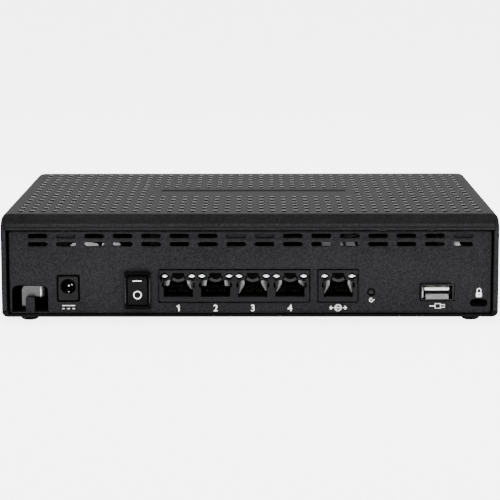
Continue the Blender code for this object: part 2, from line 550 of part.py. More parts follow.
# ---------------------------------------------------------------- aerials and their leads
for side, x, sign in (("left", -82.6, 1.0), ("right", 83.4, -1.0)):
    part("antenna_" + side, [box(x - 0.8, x + 0.8, -18.0, 20.0, ON_BOARD, 34.0)],
         material("antenna_laminate_" + side, (0.75, 0.6, 0.25), 0.4, 0.2), bevel=0.2)
    ends = (-50.0 - 1.5) if sign > 0 else (20.0 + 1.5)
    start = np.array([x + sign * 1.9, 2.0, 26.0])
    stop = np.array([ends, 14.0, 11.2])
    turn = np.linspace(0.0, 1.0, 13)[:, None]
    rise = np.array([start[0] + sign * 6.0, 8.0, 32.0])
    fall = np.array([stop[0] - sign * 4.0, 15.0, 22.0])
    path = ((1 - turn) ** 3 * start + 3 * (1 - turn) ** 2 * turn * rise
            + 3 * (1 - turn) * turn ** 2 * fall + turn ** 3 * stop)
    part("antenna_lead_" + side, [pipe(path, 0.65, 8)],
         material("lead_sleeve_" + side, (0.6, 0.6, 0.6), 0.45))
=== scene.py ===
"""Looks of a desktop wireless router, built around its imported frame.

Sizes are in millimetres.  -Y is the socket side, +X is to its right, +Z is up.
"""
import json
import math

import bmesh
import bpy
import numpy as np
from mathutils import Matrix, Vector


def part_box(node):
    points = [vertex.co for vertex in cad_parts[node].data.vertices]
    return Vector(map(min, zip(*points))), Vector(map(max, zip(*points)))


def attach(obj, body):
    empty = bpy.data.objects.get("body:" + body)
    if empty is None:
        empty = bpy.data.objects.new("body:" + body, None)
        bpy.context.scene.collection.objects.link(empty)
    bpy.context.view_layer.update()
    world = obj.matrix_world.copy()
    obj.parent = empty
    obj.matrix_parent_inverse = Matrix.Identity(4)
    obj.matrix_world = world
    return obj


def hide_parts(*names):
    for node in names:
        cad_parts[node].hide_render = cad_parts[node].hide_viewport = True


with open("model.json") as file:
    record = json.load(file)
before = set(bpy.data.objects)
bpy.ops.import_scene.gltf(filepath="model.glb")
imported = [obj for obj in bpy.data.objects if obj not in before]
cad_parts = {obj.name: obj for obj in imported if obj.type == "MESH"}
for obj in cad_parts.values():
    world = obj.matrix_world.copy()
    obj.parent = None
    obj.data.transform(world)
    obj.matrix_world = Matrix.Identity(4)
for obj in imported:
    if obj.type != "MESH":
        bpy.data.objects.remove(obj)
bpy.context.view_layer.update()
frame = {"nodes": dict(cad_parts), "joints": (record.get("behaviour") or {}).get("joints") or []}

# ============================================================ the studio
# A camera a little above the sockets, a wide white floor, and large soft
# panels: one overhead, two low ones at the camera's sides.
CAMERA_AT = (3.7, -866.8, 154.5)
CAMERA_TURN, CAMERA_DIP, CAMERA_ROLL = (math.radians(a) for a in (-0.26, 8.86, -0.08))
CAMERA_LENS = 144.8


def camera_axes(turn, dip, roll):
    """Right, up and backward directions: the forward one turned about Z, then
    dipped, with the other two turned about it by the roll."""
    ahead = np.array([math.sin(turn) * math.cos(dip), math.cos(turn) * math.cos(dip),
                      -math.sin(dip)])
    right = np.array([math.cos(turn), -math.sin(turn), 0.0])
    up = np.cross(right, ahead)
    level = right * math.cos(roll) + up * math.sin(roll)
    return level, np.cross(level, ahead), -ahead


camera = bpy.data.objects.new("camera", bpy.data.cameras.new("camera"))
bpy.context.scene.collection.objects.link(camera)
camera.data.lens = CAMERA_LENS
camera.data.clip_start = 0.05
axes = np.column_stack(camera_axes(CAMERA_TURN, CAMERA_DIP, CAMERA_ROLL))
place = Matrix(axes.tolist()).to_4x4()
place.translation = [v / 1000.0 for v in CAMERA_AT]
camera.matrix_world = place
bpy.context.scene.camera = camera

world = bpy.data.worlds.new("studio")
world.use_nodes = True
bpy.context.scene.world = world

ROOM_DIM, ROOM_BRIGHT, WALL_WHITE = 0.6, 2.0, 7.0
SOFT_LIGHTS = (("overhead", (0.0, -0.12, 1.0), (0.0, 0.0, 0.0), 0.7, 42.0),
               ("left", (-0.9, -0.7, 0.5), (0.0, 0.0, 0.02), 0.6, 3.0),
               ("right", (0.9, -0.7, 0.6), (0.0, 0.0, 0.02), 0.6, 3.0))
for name, at, aim, size, power in SOFT_LIGHTS:
    lamp = bpy.data.lights.new(name, "AREA")
    lamp.shape = "SQUARE"
    lamp.size = size
    lamp.energy = power
    light = bpy.data.objects.new(name, lamp)
    bpy.context.scene.collection.objects.link(light)
    back = np.array(at) - np.array(aim)
    back /= np.linalg.norm(back)
    across = np.cross((0.0, 1.0, 0.0), back)
    across /= np.linalg.norm(across)
    turned = Matrix(np.column_stack((across, np.cross(back, across), back)).tolist())
    light.matrix_world = Matrix.Translation(at) @ turned.to_4x4()


class Value:
    """A socket in a material's graph, used in sums like a number."""

    def __init__(self, tree, socket=None):
        self.tree = tree
        self.socket = socket

    def node(self, kind, settings, inputs, output=0):
        """Add a node: its settings first, ramp stops among them, then the values
        or links of its sockets; gives back one of its outputs."""
        made = self.tree.nodes.new(kind)
        for key, value in settings.items():
            setattr(made, key, value)
        for key, value in inputs.items():
            if isinstance(value, Value):
                self.tree.links.new(value.socket, made.inputs[key])
            else:
                made.inputs[key].default_value = value
        return Value(self.tree, made.outputs[output])

    def math(self, operation, *values):
        return self.node("ShaderNodeMath", {"operation": operation},
                         dict(enumerate(values)))

    def __add__(self, other):
        return self.math("ADD", self, other)

    def __sub__(self, other):
        return self.math("SUBTRACT", self, other)

    def __rsub__(self, other):
        return self.math("SUBTRACT", other, self)

    def __mul__(self, other):
        return self.math("MULTIPLY", self, other)

    __radd__ = __add__
    __rmul__ = __mul__

    def between(self, first, last):
        """The colour from first to last as this value goes from 0 to 1."""
        return self.node("ShaderNodeMix", {"data_type": "RGBA"},
                         {0: self, 6: (*first, 1.0), 7: (*last, 1.0)}, 2)

    def stretched(self, x, y, z):
        """These coordinates, multiplied along each axis."""
        return self.node("ShaderNodeVectorMath", {"operation": "MULTIPLY"},
                         {0: self, 1: (x, y, z)})

    def noise(self, size, detail=3.0, rough=0.55):
        """Cloudy noise from 0 to 1 with lumps about size millimetres across."""
        return self.node("ShaderNodeTexNoise", {},
                         {"Vector": self, "Scale": 1000.0 / size, "Detail": detail,
                          "Roughness": rough})

    def sharpened(self, low, high):
        """This value with low moved to 0 and high to 1, and cut off outside."""
        return self.node("ShaderNodeMapRange", {"clamp": True},
                         {0: self, 1: low, 2: high})


# the room lights the object more from behind than from in front; the camera
# sees its walls whiter than the light they give
room = Value(world.node_tree).node("ShaderNodeTexCoord", {}, {}, "Generated")
depth = room.node("ShaderNodeSeparateXYZ", {}, {0: room}, "Y")
lit = depth.node("ShaderNodeMapRange", {"clamp": True},
                 {0: depth, 1: -0.6, 2: 0.3, 3: ROOM_DIM, 4: ROOM_BRIGHT})
seen = room.node("ShaderNodeLightPath", {}, {}, "Is Camera Ray")
world.node_tree.links.new((lit + seen * (WALL_WHITE - lit)).socket,
                          world.node_tree.nodes["Background"].inputs["Strength"])
world.node_tree.nodes["Background"].inputs["Color"].default_value = (1.0, 1.0, 1.0, 1.0)


def material(name, fixed, looks):
    """A Principled material.  fixed are values on the shader's own sockets;
    looks(at) gives, from object coordinates, what varies over the surface.
    Relief is (height from 0 to 1, depth in millimetres)."""
    made = bpy.data.materials.new(name)
    made.use_nodes = True
    tree = made.node_tree
    shader = tree.nodes["Principled BSDF"]
    for socket, value in fixed.items():
        shader.inputs[socket].default_value = value
    at = Value(tree).node("ShaderNodeTexCoord", {}, {}, "Object")
    for socket, value in looks(at).items():
        if socket == "Relief":
            value = at.node("ShaderNodeBump", {"invert": False},
                            {"Strength": 1.0, "Distance": value[1] / 1000.0,
                             "Height": value[0]})
            socket = "Normal"
        tree.links.new(value.socket, shader.inputs[socket])
    return made


def paper(at):
    """Faint mottling of painted board."""
    cloud = at.noise(400.0)
    return {"Base Color": cloud.between((0.96, 0.96, 0.96), (0.985, 0.985, 0.985)),
            "Roughness": 0.75 + 0.1 * cloud}


FLOOR_HALF = 7.0
FLOOR_GLOW = 0.7      # how far the floor is seen as a lit white sheet

sweep = bpy.data.meshes.new("floor")
sweep.from_pydata([(-FLOOR_HALF, -FLOOR_HALF, 0), (FLOOR_HALF, -FLOOR_HALF, 0),
                   (FLOOR_HALF, FLOOR_HALF, 0), (-FLOOR_HALF, FLOOR_HALF, 0)], [], [(0, 1, 2, 3)])
floor = bpy.data.objects.new("floor", sweep)
bpy.context.scene.collection.objects.link(floor)
floor_paper = material("floor_paper", {}, paper)
at = Value(floor_paper.node_tree)
glow = at.node("ShaderNodeEmission", {}, {"Strength": WALL_WHITE})
seen = at.node("ShaderNodeLightPath", {}, {}, "Is Camera Ray")
mixed = at.node("ShaderNodeMixShader", {}, {0: seen * FLOOR_GLOW})
surface = floor_paper.node_tree.nodes["Material Output"].inputs["Surface"]
for slot, source in ((1, surface.links[0].from_socket), (2, glow.socket)):
    floor_paper.node_tree.links.new(source, mixed.socket.node.inputs[slot])
floor_paper.node_tree.links.new(mixed.socket, surface)
sweep.materials.append(floor_paper)

# ============================================================ floor tray
# The moulded tray that everything stands in: black ABS with a matte spark
# finish, keyholes and slots under it.  The solid's own shape is kept.
TRAY_BLACK = ((0.001, 0.001, 0.0012), (0.003, 0.003, 0.0035))


def moulded(name, colours, rough, grain=0.35, depth=0.02, speck=0.45, **fixed):
    """Moulded plastic: pits of a grain size and depth in millimetres, a colour
    that wanders between two, more by pits the more the speck, and patches that
    shine a little differently."""
    def looks(at):
        pits = at.noise(grain, 2.0)
        cloud = at.noise(38.0, 4.0)
        mixed = cloud * (1 - speck) + pits * speck
        return {"Base Color": mixed.sharpened(0.3, 0.7).between(*colours),
                "Roughness": rough + 0.16 * (cloud - 0.5) + 0.1 * (pits - 0.5),
                "Relief": (pits, depth)}
    return material(name, {key.replace("_", " "): value for key, value in fixed.items()},
                    looks)


def dress(node, finish, edge=0.0):
    """Give a CAD node a material, and roll its sharp edges by edge millimetres."""
    item = frame["nodes"][node]
    item.data.materials.clear()
    item.data.materials.append(finish)
    if edge:
        roll = item.modifiers.new("edge", "BEVEL")
        roll.width = edge / 1000.0
        roll.segments = 2
        roll.limit_method = "ANGLE"
        roll.angle_limit = math.radians(40.0)
        roll.harden_normals = False
    return item


dress("base_tray", moulded("tray_finish", TRAY_BLACK, 0.6, 0.5, 0.03,
                           Specular_IOR_Level=0.06))

# ============================================================ feet
# Four soft rubber domes pressed into the tray on stems, flat where they stand.
FOOT_PROFILE = ((2.4, 0.0), (2.75, 0.05), (3.1, 0.2), (3.45, 0.5), (3.7, 0.9),
                (3.88, 1.4), (3.98, 1.9), (4.0, 2.3), (3.95, 2.6), (3.75, 2.76),
                (1.5, 2.76), (1.5, 4.8), (1.2, 5.0))


def skin(points, ring=True, caps=True):
    """Quads between neighbours in an array of rows of points.  ring joins the
    last column to the first; caps closes the first and the last row."""
    count, width = points.shape[:2]
    index = np.arange(count * width).reshape(count, width)
    if ring:
        index = np.concatenate([index, index[:, :1]], 1)
    quads = np.stack([index[:-1, :-1], index[:-1, 1:], index[1:, 1:], index[1:, :-1]], -1)
    faces = quads.reshape(-1, 4).tolist()
    if caps:
        faces += [index[0, :width].tolist()[::-1], index[-1, :width].tolist()]
    return points.reshape(-1, 3), faces


def turned_about(profile, centre, axis=2, steps=32):
    """A lathe: each (radius, height) of the profile becomes a circle about an
    axis through the centre, radius (cos, sin) across it and height along it."""
    radius, height = np.array(profile).T
    angle = np.linspace(0.0, 2 * math.pi, steps, endpoint=False)
    first, second = [k for k in range(3) if k != axis]
    points = np.zeros((len(radius), steps, 3))
    points[..., first] = radius[:, None] * np.cos(angle)
    points[..., second] = radius[:, None] * np.sin(angle)
    points[..., axis] = height[:, None]
    return skin(points + np.array(centre))


def piece(name, skins, finish, body="housing", angle=40.0, slot=None, stands_for=()):
    """One object from skins: faced outwards, smooth up to an angle, with
    its material, riding on a body."""
    points, faces, start = [], [], 0
    for some, few in skins:
        points.append(some)
        faces += [[i + start for i in face] for face in few]
        start += len(some)
    mesh = bpy.data.meshes.new(name)
    mesh.from_pydata((np.concatenate(points) / 1000.0).tolist(), [], faces)
    work = bmesh.new()
    work.from_mesh(mesh)
    bmesh.ops.recalc_face_normals(work, faces=work.faces[:])
    work.to_mesh(mesh)
    work.free()
    mesh.shade_smooth()
    mesh.set_sharp_from_angle(angle=math.radians(angle))
    mesh.materials.append(finish)
    item = bpy.data.objects.new(name, mesh)
    bpy.context.scene.collection.objects.link(item)
    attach(item, body)
    if stands_for:
        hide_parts(*stands_for)
    return item


def span(node):
    """Lowest and highest corner of a CAD node, in millimetres."""
    return np.array(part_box(node)) * 1000.0


rubber = moulded("foot_rubber", ((0.004, 0.004, 0.004), (0.010, 0.0095, 0.009)), 0.75,
                 0.2, 0.03)
for end in ("rear", "front"):
    for side in ("left", "right"):
        foot = "foot_%s_%s" % (end, side)
        low, high = span(foot)
        middle = (low + high) / 2 * (1, 1, 0)
        piece("soft_" + foot, [turned_about(FOOT_PROFILE, middle)], rubber,
              slot="foot_rubber_%s_%s" % (end, side), stands_for=[foot])

# ============================================================ circuit board
# Glass-fibre laminate under green solder mask, screwed to the tray's bosses,
# with tinned pads and rows of small ceramic parts soldered over it.
MASK_GREEN = ((0.004, 0.035, 0.018), (0.006, 0.055, 0.026))
CHIP_SIZES = ((1.6, 0.8, 0.5), (2.0, 1.2, 0.6), (3.0, 1.6, 0.9), (5.0, 4.0, 1.2))


def solder_mask(at):
    """Green mask with copper tracks showing through as fine raised lines."""
    lanes = at.stretched(1.0, 0.08, 1.0).noise(1.1, 1.0)
    tracks = lanes.sharpened(0.5, 0.54)
    cloud = at.noise(20.0)
    return {"Base Color": (tracks * 0.6 + cloud * 0.4).between(*MASK_GREEN),
            "Roughness": 0.28 + 0.15 * cloud,
            "Relief": (tracks, 0.02)}


dress("main_board", material("solder_mask", {"Coat Weight": 0.4}, solder_mask))


def slab(low, high, corner, edge, axis=2, steps=4):
    """A block with round corners about one axis and rolled ends: its outline is
    a rounded rectangle whose inset follows a quarter circle at each end."""
    low, high = np.array(low, float), np.array(high, float)
    first, second = [k for k in range(3) if k != axis]
    corner = max(corner, edge + 0.01)
    turn = np.radians(np.concatenate([np.linspace(q, q + 90, steps)
                                      for q in (0, 90, 180, 270)]))
    sides = np.array([[1, 1], [-1, 1], [-1, -1], [1, -1]]).repeat(steps, 0)
    roll = np.linspace(0.0, math.pi / 2, 3)
    inset = edge * (1 - np.sin(roll))
    lift = edge * (1 - np.cos(roll))
    inset = np.concatenate([inset, inset[::-1]])
    level = np.concatenate([low[axis] + lift, high[axis] - lift[::-1]])
    middle, half = (low + high) / 2, (high - low) / 2
    points = np.zeros((len(level), len(turn), 3))
    for k, (trig, way) in enumerate(((np.cos, first), (np.sin, second))):
        reach = sides[:, k] * (half[way] - corner)
        points[..., way] = middle[way] + reach + (corner - inset[:, None]) * trig(turn)
    points[..., axis] = level[:, None]
    return skin(points)


dice = np.random.default_rng(7)
board_low, board_high = span("main_board")
chips, caps = [], []
BARE_ZONES = [span(name) for name in ("processor", "heatsink", "radio_shield_left",
                                      "radio_shield_right", "lan_magnetics", "wan_magnetics",
                                      "capacitor_input", "capacitor_bulk", "capacitor_output",
                                      "power_inductor", "lan_jack_shield", "wan_jack_shield",
                                      "usb_shell", "dc_jack_housing", "switch_housing",
                                      "reset_switch", "board_screw_rear_left",
                                      "board_screw_rear_right", "board_screw_front_left",
                                      "board_screw_front_right", "front_light_pipe",
                                      "cord_pocket", "antenna_left", "antenna_right",
                                      "switch_terminal_upper")]
for _ in range(420):
    size = CHIP_SIZES[min(3, int(dice.exponential(0.9)))]
    long, wide, tall = size if dice.random() < 0.5 else (size[1], size[0], size[2])
    x = dice.uniform(board_low[0] + 4, board_high[0] - 4)
    y = dice.uniform(board_low[1] + 16, board_high[1] - 4)
    taken = [zone for zone in BARE_ZONES
             if zone[0][0] - long - 0.6 < x < zone[1][0] + 0.6
             and zone[0][1] - wide - 0.6 < y < zone[1][1] + 0.6]
    if taken:
        continue
    BARE_ZONES.append(np.array([[x, y, 0.0], [x + long, y + wide, 0.0]]))
    top = board_high[2] + 0.05
    chips.append(slab((x, y, top), (x + long, y + wide, top + tall), 0.1, 0.06))
    along = 0 if long > wide else 1
    for end in (0, 1):
        cap_low = np.array([x - 0.04, y - 0.04, top - 0.04])
        cap_high = np.array([x + long + 0.04, y + wide + 0.04, top + tall + 0.04])
        cut_at = 0.22 * (long, wide)[along]
        if end:
            cap_low[along] = cap_high[along] - cut_at
        else:
            cap_high[along] = cap_low[along] + cut_at
        caps.append(slab(cap_low, cap_high, 0.08, 0.05))
ceramic = moulded("chip_ceramic", ((0.02, 0.017, 0.015), (0.16, 0.10, 0.06)), 0.45, 6.0, 0.0)
piece("small_chips", chips, ceramic)


def plated(name, colour, rough, along=(1.0, 1.0, 12.0), **fixed):
    """Plated or rolled sheet: fine streaks, long along one axis, that turn both
    the colour and the shine, with a few dull patches."""
    dull = tuple(0.72 * c for c in colour)

    def looks(at):
        streaks = at.stretched(*along).noise(1.6, 4.0, 0.7)
        patches = at.noise(5.0, 3.0)
        return {"Base Color": (streaks * 0.6 + patches * 0.4).sharpened(0.3, 0.7)
                .between(dull, colour),
                "Roughness": rough + 0.22 * (streaks - 0.5) + 0.2 * (patches - 0.5),
                "Relief": (streaks, 0.004)}
    return material(name, {"Metallic": 1.0, **fixed}, looks)


TIN = (0.80, 0.81, 0.80)
piece("chip_ends", caps, plated("solder_tin", TIN, 0.28))
screw_zinc = plated("screw_zinc", (0.62, 0.63, 0.64), 0.3, (1.0, 1.0, 6.0))
for corner in ("rear_left", "rear_right", "front_left", "front_right"):
    dress("board_screw_" + corner, screw_zinc, 0.12)

# ============================================================ power parts
# Three aluminium cans in printed sleeves and a ferrite drum stand behind the
# inlet; their bare tops shine through the vents.
LID_LIFT = {"bulk": 0.35, "input": 0.35, "output": 0.0}


def can_profile(radius, base, top):
    """A can's turned outline: a rolled foot with a crimp, a straight wall, and a
    rounded shoulder with a shallow sunken lid."""
    bend = np.linspace(0.0, math.pi / 2, 5)
    wall = [(radius - 0.35, base), (radius, base + 0.4), (radius, base + 1.5),
            (radius - 0.28, base + 1.9), (radius, base + 2.3)]
    shoulder = [(radius - 0.45 * (1 - math.cos(t)), top - 0.45 * (1 - math.sin(t)))
                for t in bend]
    lid = [(radius - 0.9, top), (radius - 1.05, top - 0.12), (0.05, top - 0.12)]
    return wall + shoulder + lid


def sleeve(at):
    """Dark shrink sleeve."""
    cloud = at.noise(2.0)
    return {"Base Color": cloud.between((0.01, 0.012, 0.02), (0.02, 0.024, 0.04)),
            "Roughness": 0.3 + 0.1 * cloud}


can_metal = plated("can_aluminium", (0.55, 0.55, 0.55), 0.6, (1.0, 1.0, 1.0), Metallic=0.1)
sleeve_film = material("can_sleeve", {"Coat Weight": 0.3}, sleeve)
for use in LID_LIFT:
    low, high = span("capacitor_" + use)
    middle = (low + high) / 2 * (1, 1, 0)
    radius = (high[0] - low[0]) / 2
    high[2] += LID_LIFT[use]
    piece("can_" + use, [turned_about(can_profile(radius, low[2], high[2]), middle)],
          can_metal, slot="capacitor_sleeve_" + use, stands_for=["capacitor_" + use])
    film = ((radius + 0.02, low[2] + 2.2), (radius + 0.1, low[2] + 2.3),
            (radius + 0.1, high[2] - 1.0), (radius + 0.02, high[2] - 0.8))
    piece("sleeve_" + use, [turned_about(film, middle)], sleeve_film)
dress("power_inductor", moulded("ferrite", ((0.03, 0.03, 0.032), (0.06, 0.06, 0.06)), 0.6,
                                0.4, 0.03), 0.2)

# ============================================================ processor, heat sink, cans
# The processor carries an extruded aluminium heat sink; two tinned covers
# screen the radios, and two moulded blocks hold the network transformers.
resin = moulded("chip_resin", ((0.012, 0.012, 0.013), (0.022, 0.022, 0.024)), 0.5, 0.25, 0.01)
for block in ("processor", "lan_magnetics", "wan_magnetics"):
    dress(block, resin, 0.25)
dress("heatsink", plated("sink_aluminium", (0.36, 0.36, 0.37), 0.45, (1.0, 0.06, 1.0),
                         Metallic=0.5), 0.18)
cover_tin = plated("cover_tin", TIN, 0.24, (0.2, 1.0, 1.0))
for side in ("left", "right"):
    dress("radio_shield_" + side, cover_tin, 0.3)

# ============================================================ aerials
# Each aerial is a strip of etched laminate standing on the board's edge, fed
# by a thin black coaxial lead that loops over to the radios.


def etched(at):
    """Black laminate with a copper meander: bars where a wave in height is high."""
    z = at.node("ShaderNodeSeparateXYZ", {}, {0: at}, "Z")
    wave = (z * 1400.0).math("SINE", z * 1400.0)
    gold = wave.sharpened(0.1, 0.3)
    cloud = at.noise(3.0)
    return {"Base Color": gold.between((0.003, 0.004, 0.0035), (0.018, 0.014, 0.008)),
            "Roughness": 0.5 - 0.2 * gold + 0.1 * cloud,
            "Relief": (gold, 0.03)}


laminate = material("aerial_laminate", {}, etched)
lead_black = moulded("lead_sleeve", ((0.006, 0.006, 0.006), (0.012, 0.012, 0.012)), 0.4, 1.2,
                     0.01)
for side in ("left", "right"):
    dress("antenna_" + side, laminate, 0.15)
    dress("antenna_lead_" + side, lead_black)

# ============================================================ rear panel
# A black ABS plate with a fine spark finish, clipped in behind the shell's
# rim.  Two rows of slots breathe; four of them are moulded shut.
PANEL_BLACK = ((0.0005, 0.0005, 0.0006), (0.0155, 0.0155, 0.0172))
SLOT_FIRST, SLOT_PITCH, SLOT_COUNT = 11.6, 11.4, 16
SLOT_LONG, SLOT_TALL = 7.9, 1.8
SLOT_DROPS = (1.98, 5.38)
BLIND_SLOTS = (1, 7, 8, 15)
SEAM = 0.42


def rounded(low_x, high_x, low_z, high_z, radius, steps=6):
    """Outline of a rectangle whose corners are quarter circles."""
    turn = np.radians(np.concatenate([np.linspace(q, q + 90, steps)
                                      for q in (0, 90, 180, 270)]))
    side = np.array([[1, 1], [-1, 1], [-1, -1], [1, -1]]).repeat(steps, 0)
    half = np.array([high_x - low_x, high_z - low_z]) / 2
    middle = np.array([high_x + low_x, high_z + low_z]) / 2
    return middle + side * (half - radius) + radius * np.stack([np.cos(turn), np.sin(turn)], 1)


def circle(x, z, radius, steps=40):
    """Points of a circle."""
    turn = np.linspace(0.0, 2 * math.pi, steps, endpoint=False)
    return np.stack([x + radius * np.cos(turn), z + radius * np.sin(turn)], 1)


def plate(outlines, front, back, edge):
    """A plate in the XZ plane between two Y values: the first outline is its
    rim and the rest are holes, and every edge is rolled by a quarter circle."""
    sheet = bpy.data.curves.new("outline", "CURVE")
    sheet.dimensions = "2D"
    sheet.fill_mode = "BOTH"
    sheet.extrude = (back - front) / 2 - edge
    sheet.bevel_depth = edge
    sheet.bevel_resolution = 2
    sheet.offset = -edge
    for number, outline in enumerate(outlines):
        x, z = outline[:, 0], outline[:, 1]
        area = np.sum(x * np.roll(z, -1) - np.roll(x, -1) * z)
        if (area > 0) == (number > 0):
            outline = outline[::-1]
        line = sheet.splines.new("POLY")
        line.points.add(len(outline) - 1)
        flat = np.concatenate([outline, np.zeros((len(outline), 1)),
                               np.ones((len(outline), 1))], 1)
        line.points.foreach_set("co", flat.ravel())
        line.use_cyclic_u = True
    shape = bpy.data.objects.new("outline", sheet)
    bpy.context.scene.collection.objects.link(shape)
    graph = bpy.context.evaluated_depsgraph_get()
    mesh = bpy.data.meshes.new_from_object(shape.evaluated_get(graph))
    work = bmesh.new()
    work.from_mesh(mesh)
    bmesh.ops.remove_doubles(work, verts=work.verts[:], dist=0.0005)
    flat = np.array([v.co[:] for v in work.verts])
    faces = [[v.index for v in face.verts] for face in work.faces]
    work.free()
    bpy.data.objects.remove(shape)
    bpy.data.meshes.remove(mesh)
    middle = (front + back) / 2
    return np.stack([flat[:, 0], middle - flat[:, 2], flat[:, 1]], 1), faces


def eased(corners, radius, steps=4):
    """A polygon with each corner rounded by a curve that starts and ends a
    radius away from it."""
    corners = np.array(corners, float)
    before = np.roll(corners, 1, 0) - corners
    after = np.roll(corners, -1, 0) - corners
    reach = np.minimum(radius, 0.45 * np.minimum(np.linalg.norm(before, axis=1),
                                                 np.linalg.norm(after, axis=1)))[:, None]
    enter = corners + before / np.linalg.norm(before, axis=1)[:, None] * reach
    leave = corners + after / np.linalg.norm(after, axis=1)[:, None] * reach
    t = np.linspace(0.0, 1.0, steps)[None, :, None]
    bend = (enter[:, None] * (1 - t) ** 2 + 2 * corners[:, None] * t * (1 - t)
            + leave[:, None] * t ** 2)
    return bend.reshape(-1, 2)


def grown(node, by):
    """The outline of a node's box as the panel is read, grown on every side."""
    low, high = span(node)
    return rounded(low[0] - by, high[0] + by, low[2] - by, high[2] + by, 0.3)


panel_low, panel_high = span("rear_panel")
face_y, panel_back = panel_low[1], panel_high[1]
slots, blanks = [], []
for drop in SLOT_DROPS:
    for column in range(SLOT_COUNT):
        middle = panel_low[0] + SLOT_FIRST + SLOT_PITCH * column
        height = panel_high[2] - drop
        outline = rounded(middle - SLOT_LONG / 2, middle + SLOT_LONG / 2,
                          height - SLOT_TALL / 2, height + SLOT_TALL / 2, SLOT_TALL / 2 - 0.01)
        slots.append(outline)
        if drop == SLOT_DROPS[0] and column in BLIND_SLOTS:
            blanks.append(slab((middle - SLOT_LONG / 2 - 0.3, face_y + 0.9, height - 1.2),
                               (middle + SLOT_LONG / 2 + 0.3, panel_back - 0.05, height + 1.2),
                               0.5, 0.02, axis=1))
switch_low, switch_high = span("switch_housing")
reset_low, reset_high = span("reset_button")
reset_x, reset_z = (reset_low + reset_high)[[0, 2]] / 2
lock_low = span("lock_bracket")[0]
lock_x, lock_z = lock_low[0] + 5.9, lock_low[2] + 2.9
pocket_low, pocket_high = span("cord_pocket")
left, right = pocket_low[0] + 1.2, pocket_high[0] - 1.2
foot_z, head_z = panel_low[2] + 0.46, pocket_high[2] - 1.35
post_left, post_right, post_top = left + 5.5, left + 9.1, foot_z + 6.0
notch = eased([(left, foot_z), (post_left, foot_z), (post_left, post_top),
               (post_right, post_top), (post_right, foot_z), (right, foot_z),
               (right, head_z), (left, head_z)], 0.35)
arch = eased([(left, foot_z + 3.0), (right, foot_z + 3.0), (right, head_z), (left, head_z)], 3.0, 8)
low_points = notch[notch[:, 1] < foot_z + 7.0]
notch = np.concatenate([low_points, arch[arch[:, 1] > foot_z + 7.0]])
openings = [grown("lan_jack_housing", SEAM), grown("wan_jack_housing", SEAM),
            grown("dc_jack_housing", 0.1),
            rounded(switch_low[0] + 0.4, switch_high[0] - 0.4, switch_low[2] + 1.0,
                    switch_high[2] - 1.0, 0.3),
            grown("usb_shell", SEAM), circle(reset_x, reset_z, 1.72),
            rounded(lock_x - 3.48, lock_x + 3.48, lock_z - 1.67, lock_z + 1.67, 1.55),
            notch]
rim = rounded(panel_low[0], panel_high[0], panel_low[2], panel_high[2] - 0.1, 1.0)
panel_finish = moulded("panel_spark", PANEL_BLACK, 0.6, 0.55, 0.07, 0.8,
                       Specular_IOR_Level=0.08)
piece("socket_panel", [plate([rim] + slots + openings, face_y, panel_back, 0.22)] + blanks,
      panel_finish, slot="panel_plastic", stands_for=["rear_panel"], angle=30.0)

# ============================================================ printed marks
# White pad-printed marks a few hundredths thick: port numbers, and plain signs
# for direct current, the wide network, reset, the bus socket and the lock.
INK, INK_THICK = (0.88, 0.88, 0.87), 0.04


def stroke(points, width, closed=False):
    """A flat line of ink: two rows of points, half a width to each side of the
    path, along its own normals, and the same again a hair behind.  A closed
    path joins end to end."""
    path = np.array(points, float)
    if closed:
        way = np.roll(path, -1, 0) - np.roll(path, 1, 0)
    else:
        way = np.gradient(path, axis=0)
    way /= np.linalg.norm(way, axis=1)[:, None]
    side = np.stack([-way[:, 1], way[:, 0]], 1) * width / 2
    near, far = path + side, path - side
    front, back = face_y - INK_THICK, face_y + 0.01
    ring = [np.column_stack([p[:, 0], np.full(len(p), y), p[:, 1]])
            for p, y in ((near, front), (far, front), (far, back), (near, back))]
    points = np.stack(ring, 1)
    if closed:
        return skin(np.concatenate([points, points[:1]]), caps=False)
    return skin(points)


def arc(x, z, radius, start, stop, steps=20):
    """Points of part of a circle, between two angles in degrees."""
    turn = np.radians(np.linspace(start, stop, steps))
    return np.stack([x + radius * np.cos(turn), z + radius * np.sin(turn)], 1)


def digit(text, x, z, tall):
    """A generic numeral from the built-in typeface, as a thin plate."""
    letters = bpy.data.curves.new("digit", "FONT")
    letters.body = text
    letters.align_x = "CENTER"
    letters.size = tall / 0.73
    letters.extrude = INK_THICK / 2
    letters.offset = 0.02 * tall
    shape = bpy.data.objects.new("digit", letters)
    bpy.context.scene.collection.objects.link(shape)
    graph = bpy.context.evaluated_depsgraph_get()
    mesh = bpy.data.meshes.new_from_object(shape.evaluated_get(graph))
    flat = np.array([v.co[:] for v in mesh.vertices])
    faces = [list(face.vertices) for face in mesh.polygons]
    bpy.data.objects.remove(shape)
    bpy.data.meshes.remove(mesh)
    return np.stack([flat[:, 0] + x, face_y - INK_THICK / 2 - flat[:, 2],
                     flat[:, 1] + z - tall / 2], 1), faces


lan_low, lan_high = span("lan_jack_housing")
wan_low, wan_high = span("wan_jack_housing")
dc_low, dc_high = span("dc_jack_housing")
usb_low, usb_high = span("usb_shell")
LAN_CENTRES = lan_low[0] + 7.66 + 15.01 * np.arange(4)
WAN_CENTRE = wan_low[0] + 7.97
MARK_Z = panel_low[2] + 2.3
marks = [digit(str(k + 1), x, MARK_Z, 2.75) for k, x in enumerate(LAN_CENTRES) if k]
one = LAN_CENTRES[0] + 0.2
marks += [stroke([(one, MARK_Z - 1.38), (one, MARK_Z + 1.38)], 0.62),
          stroke([(one + 0.1, MARK_Z + 1.1), (one - 0.85, MARK_Z + 0.55)], 0.5)]
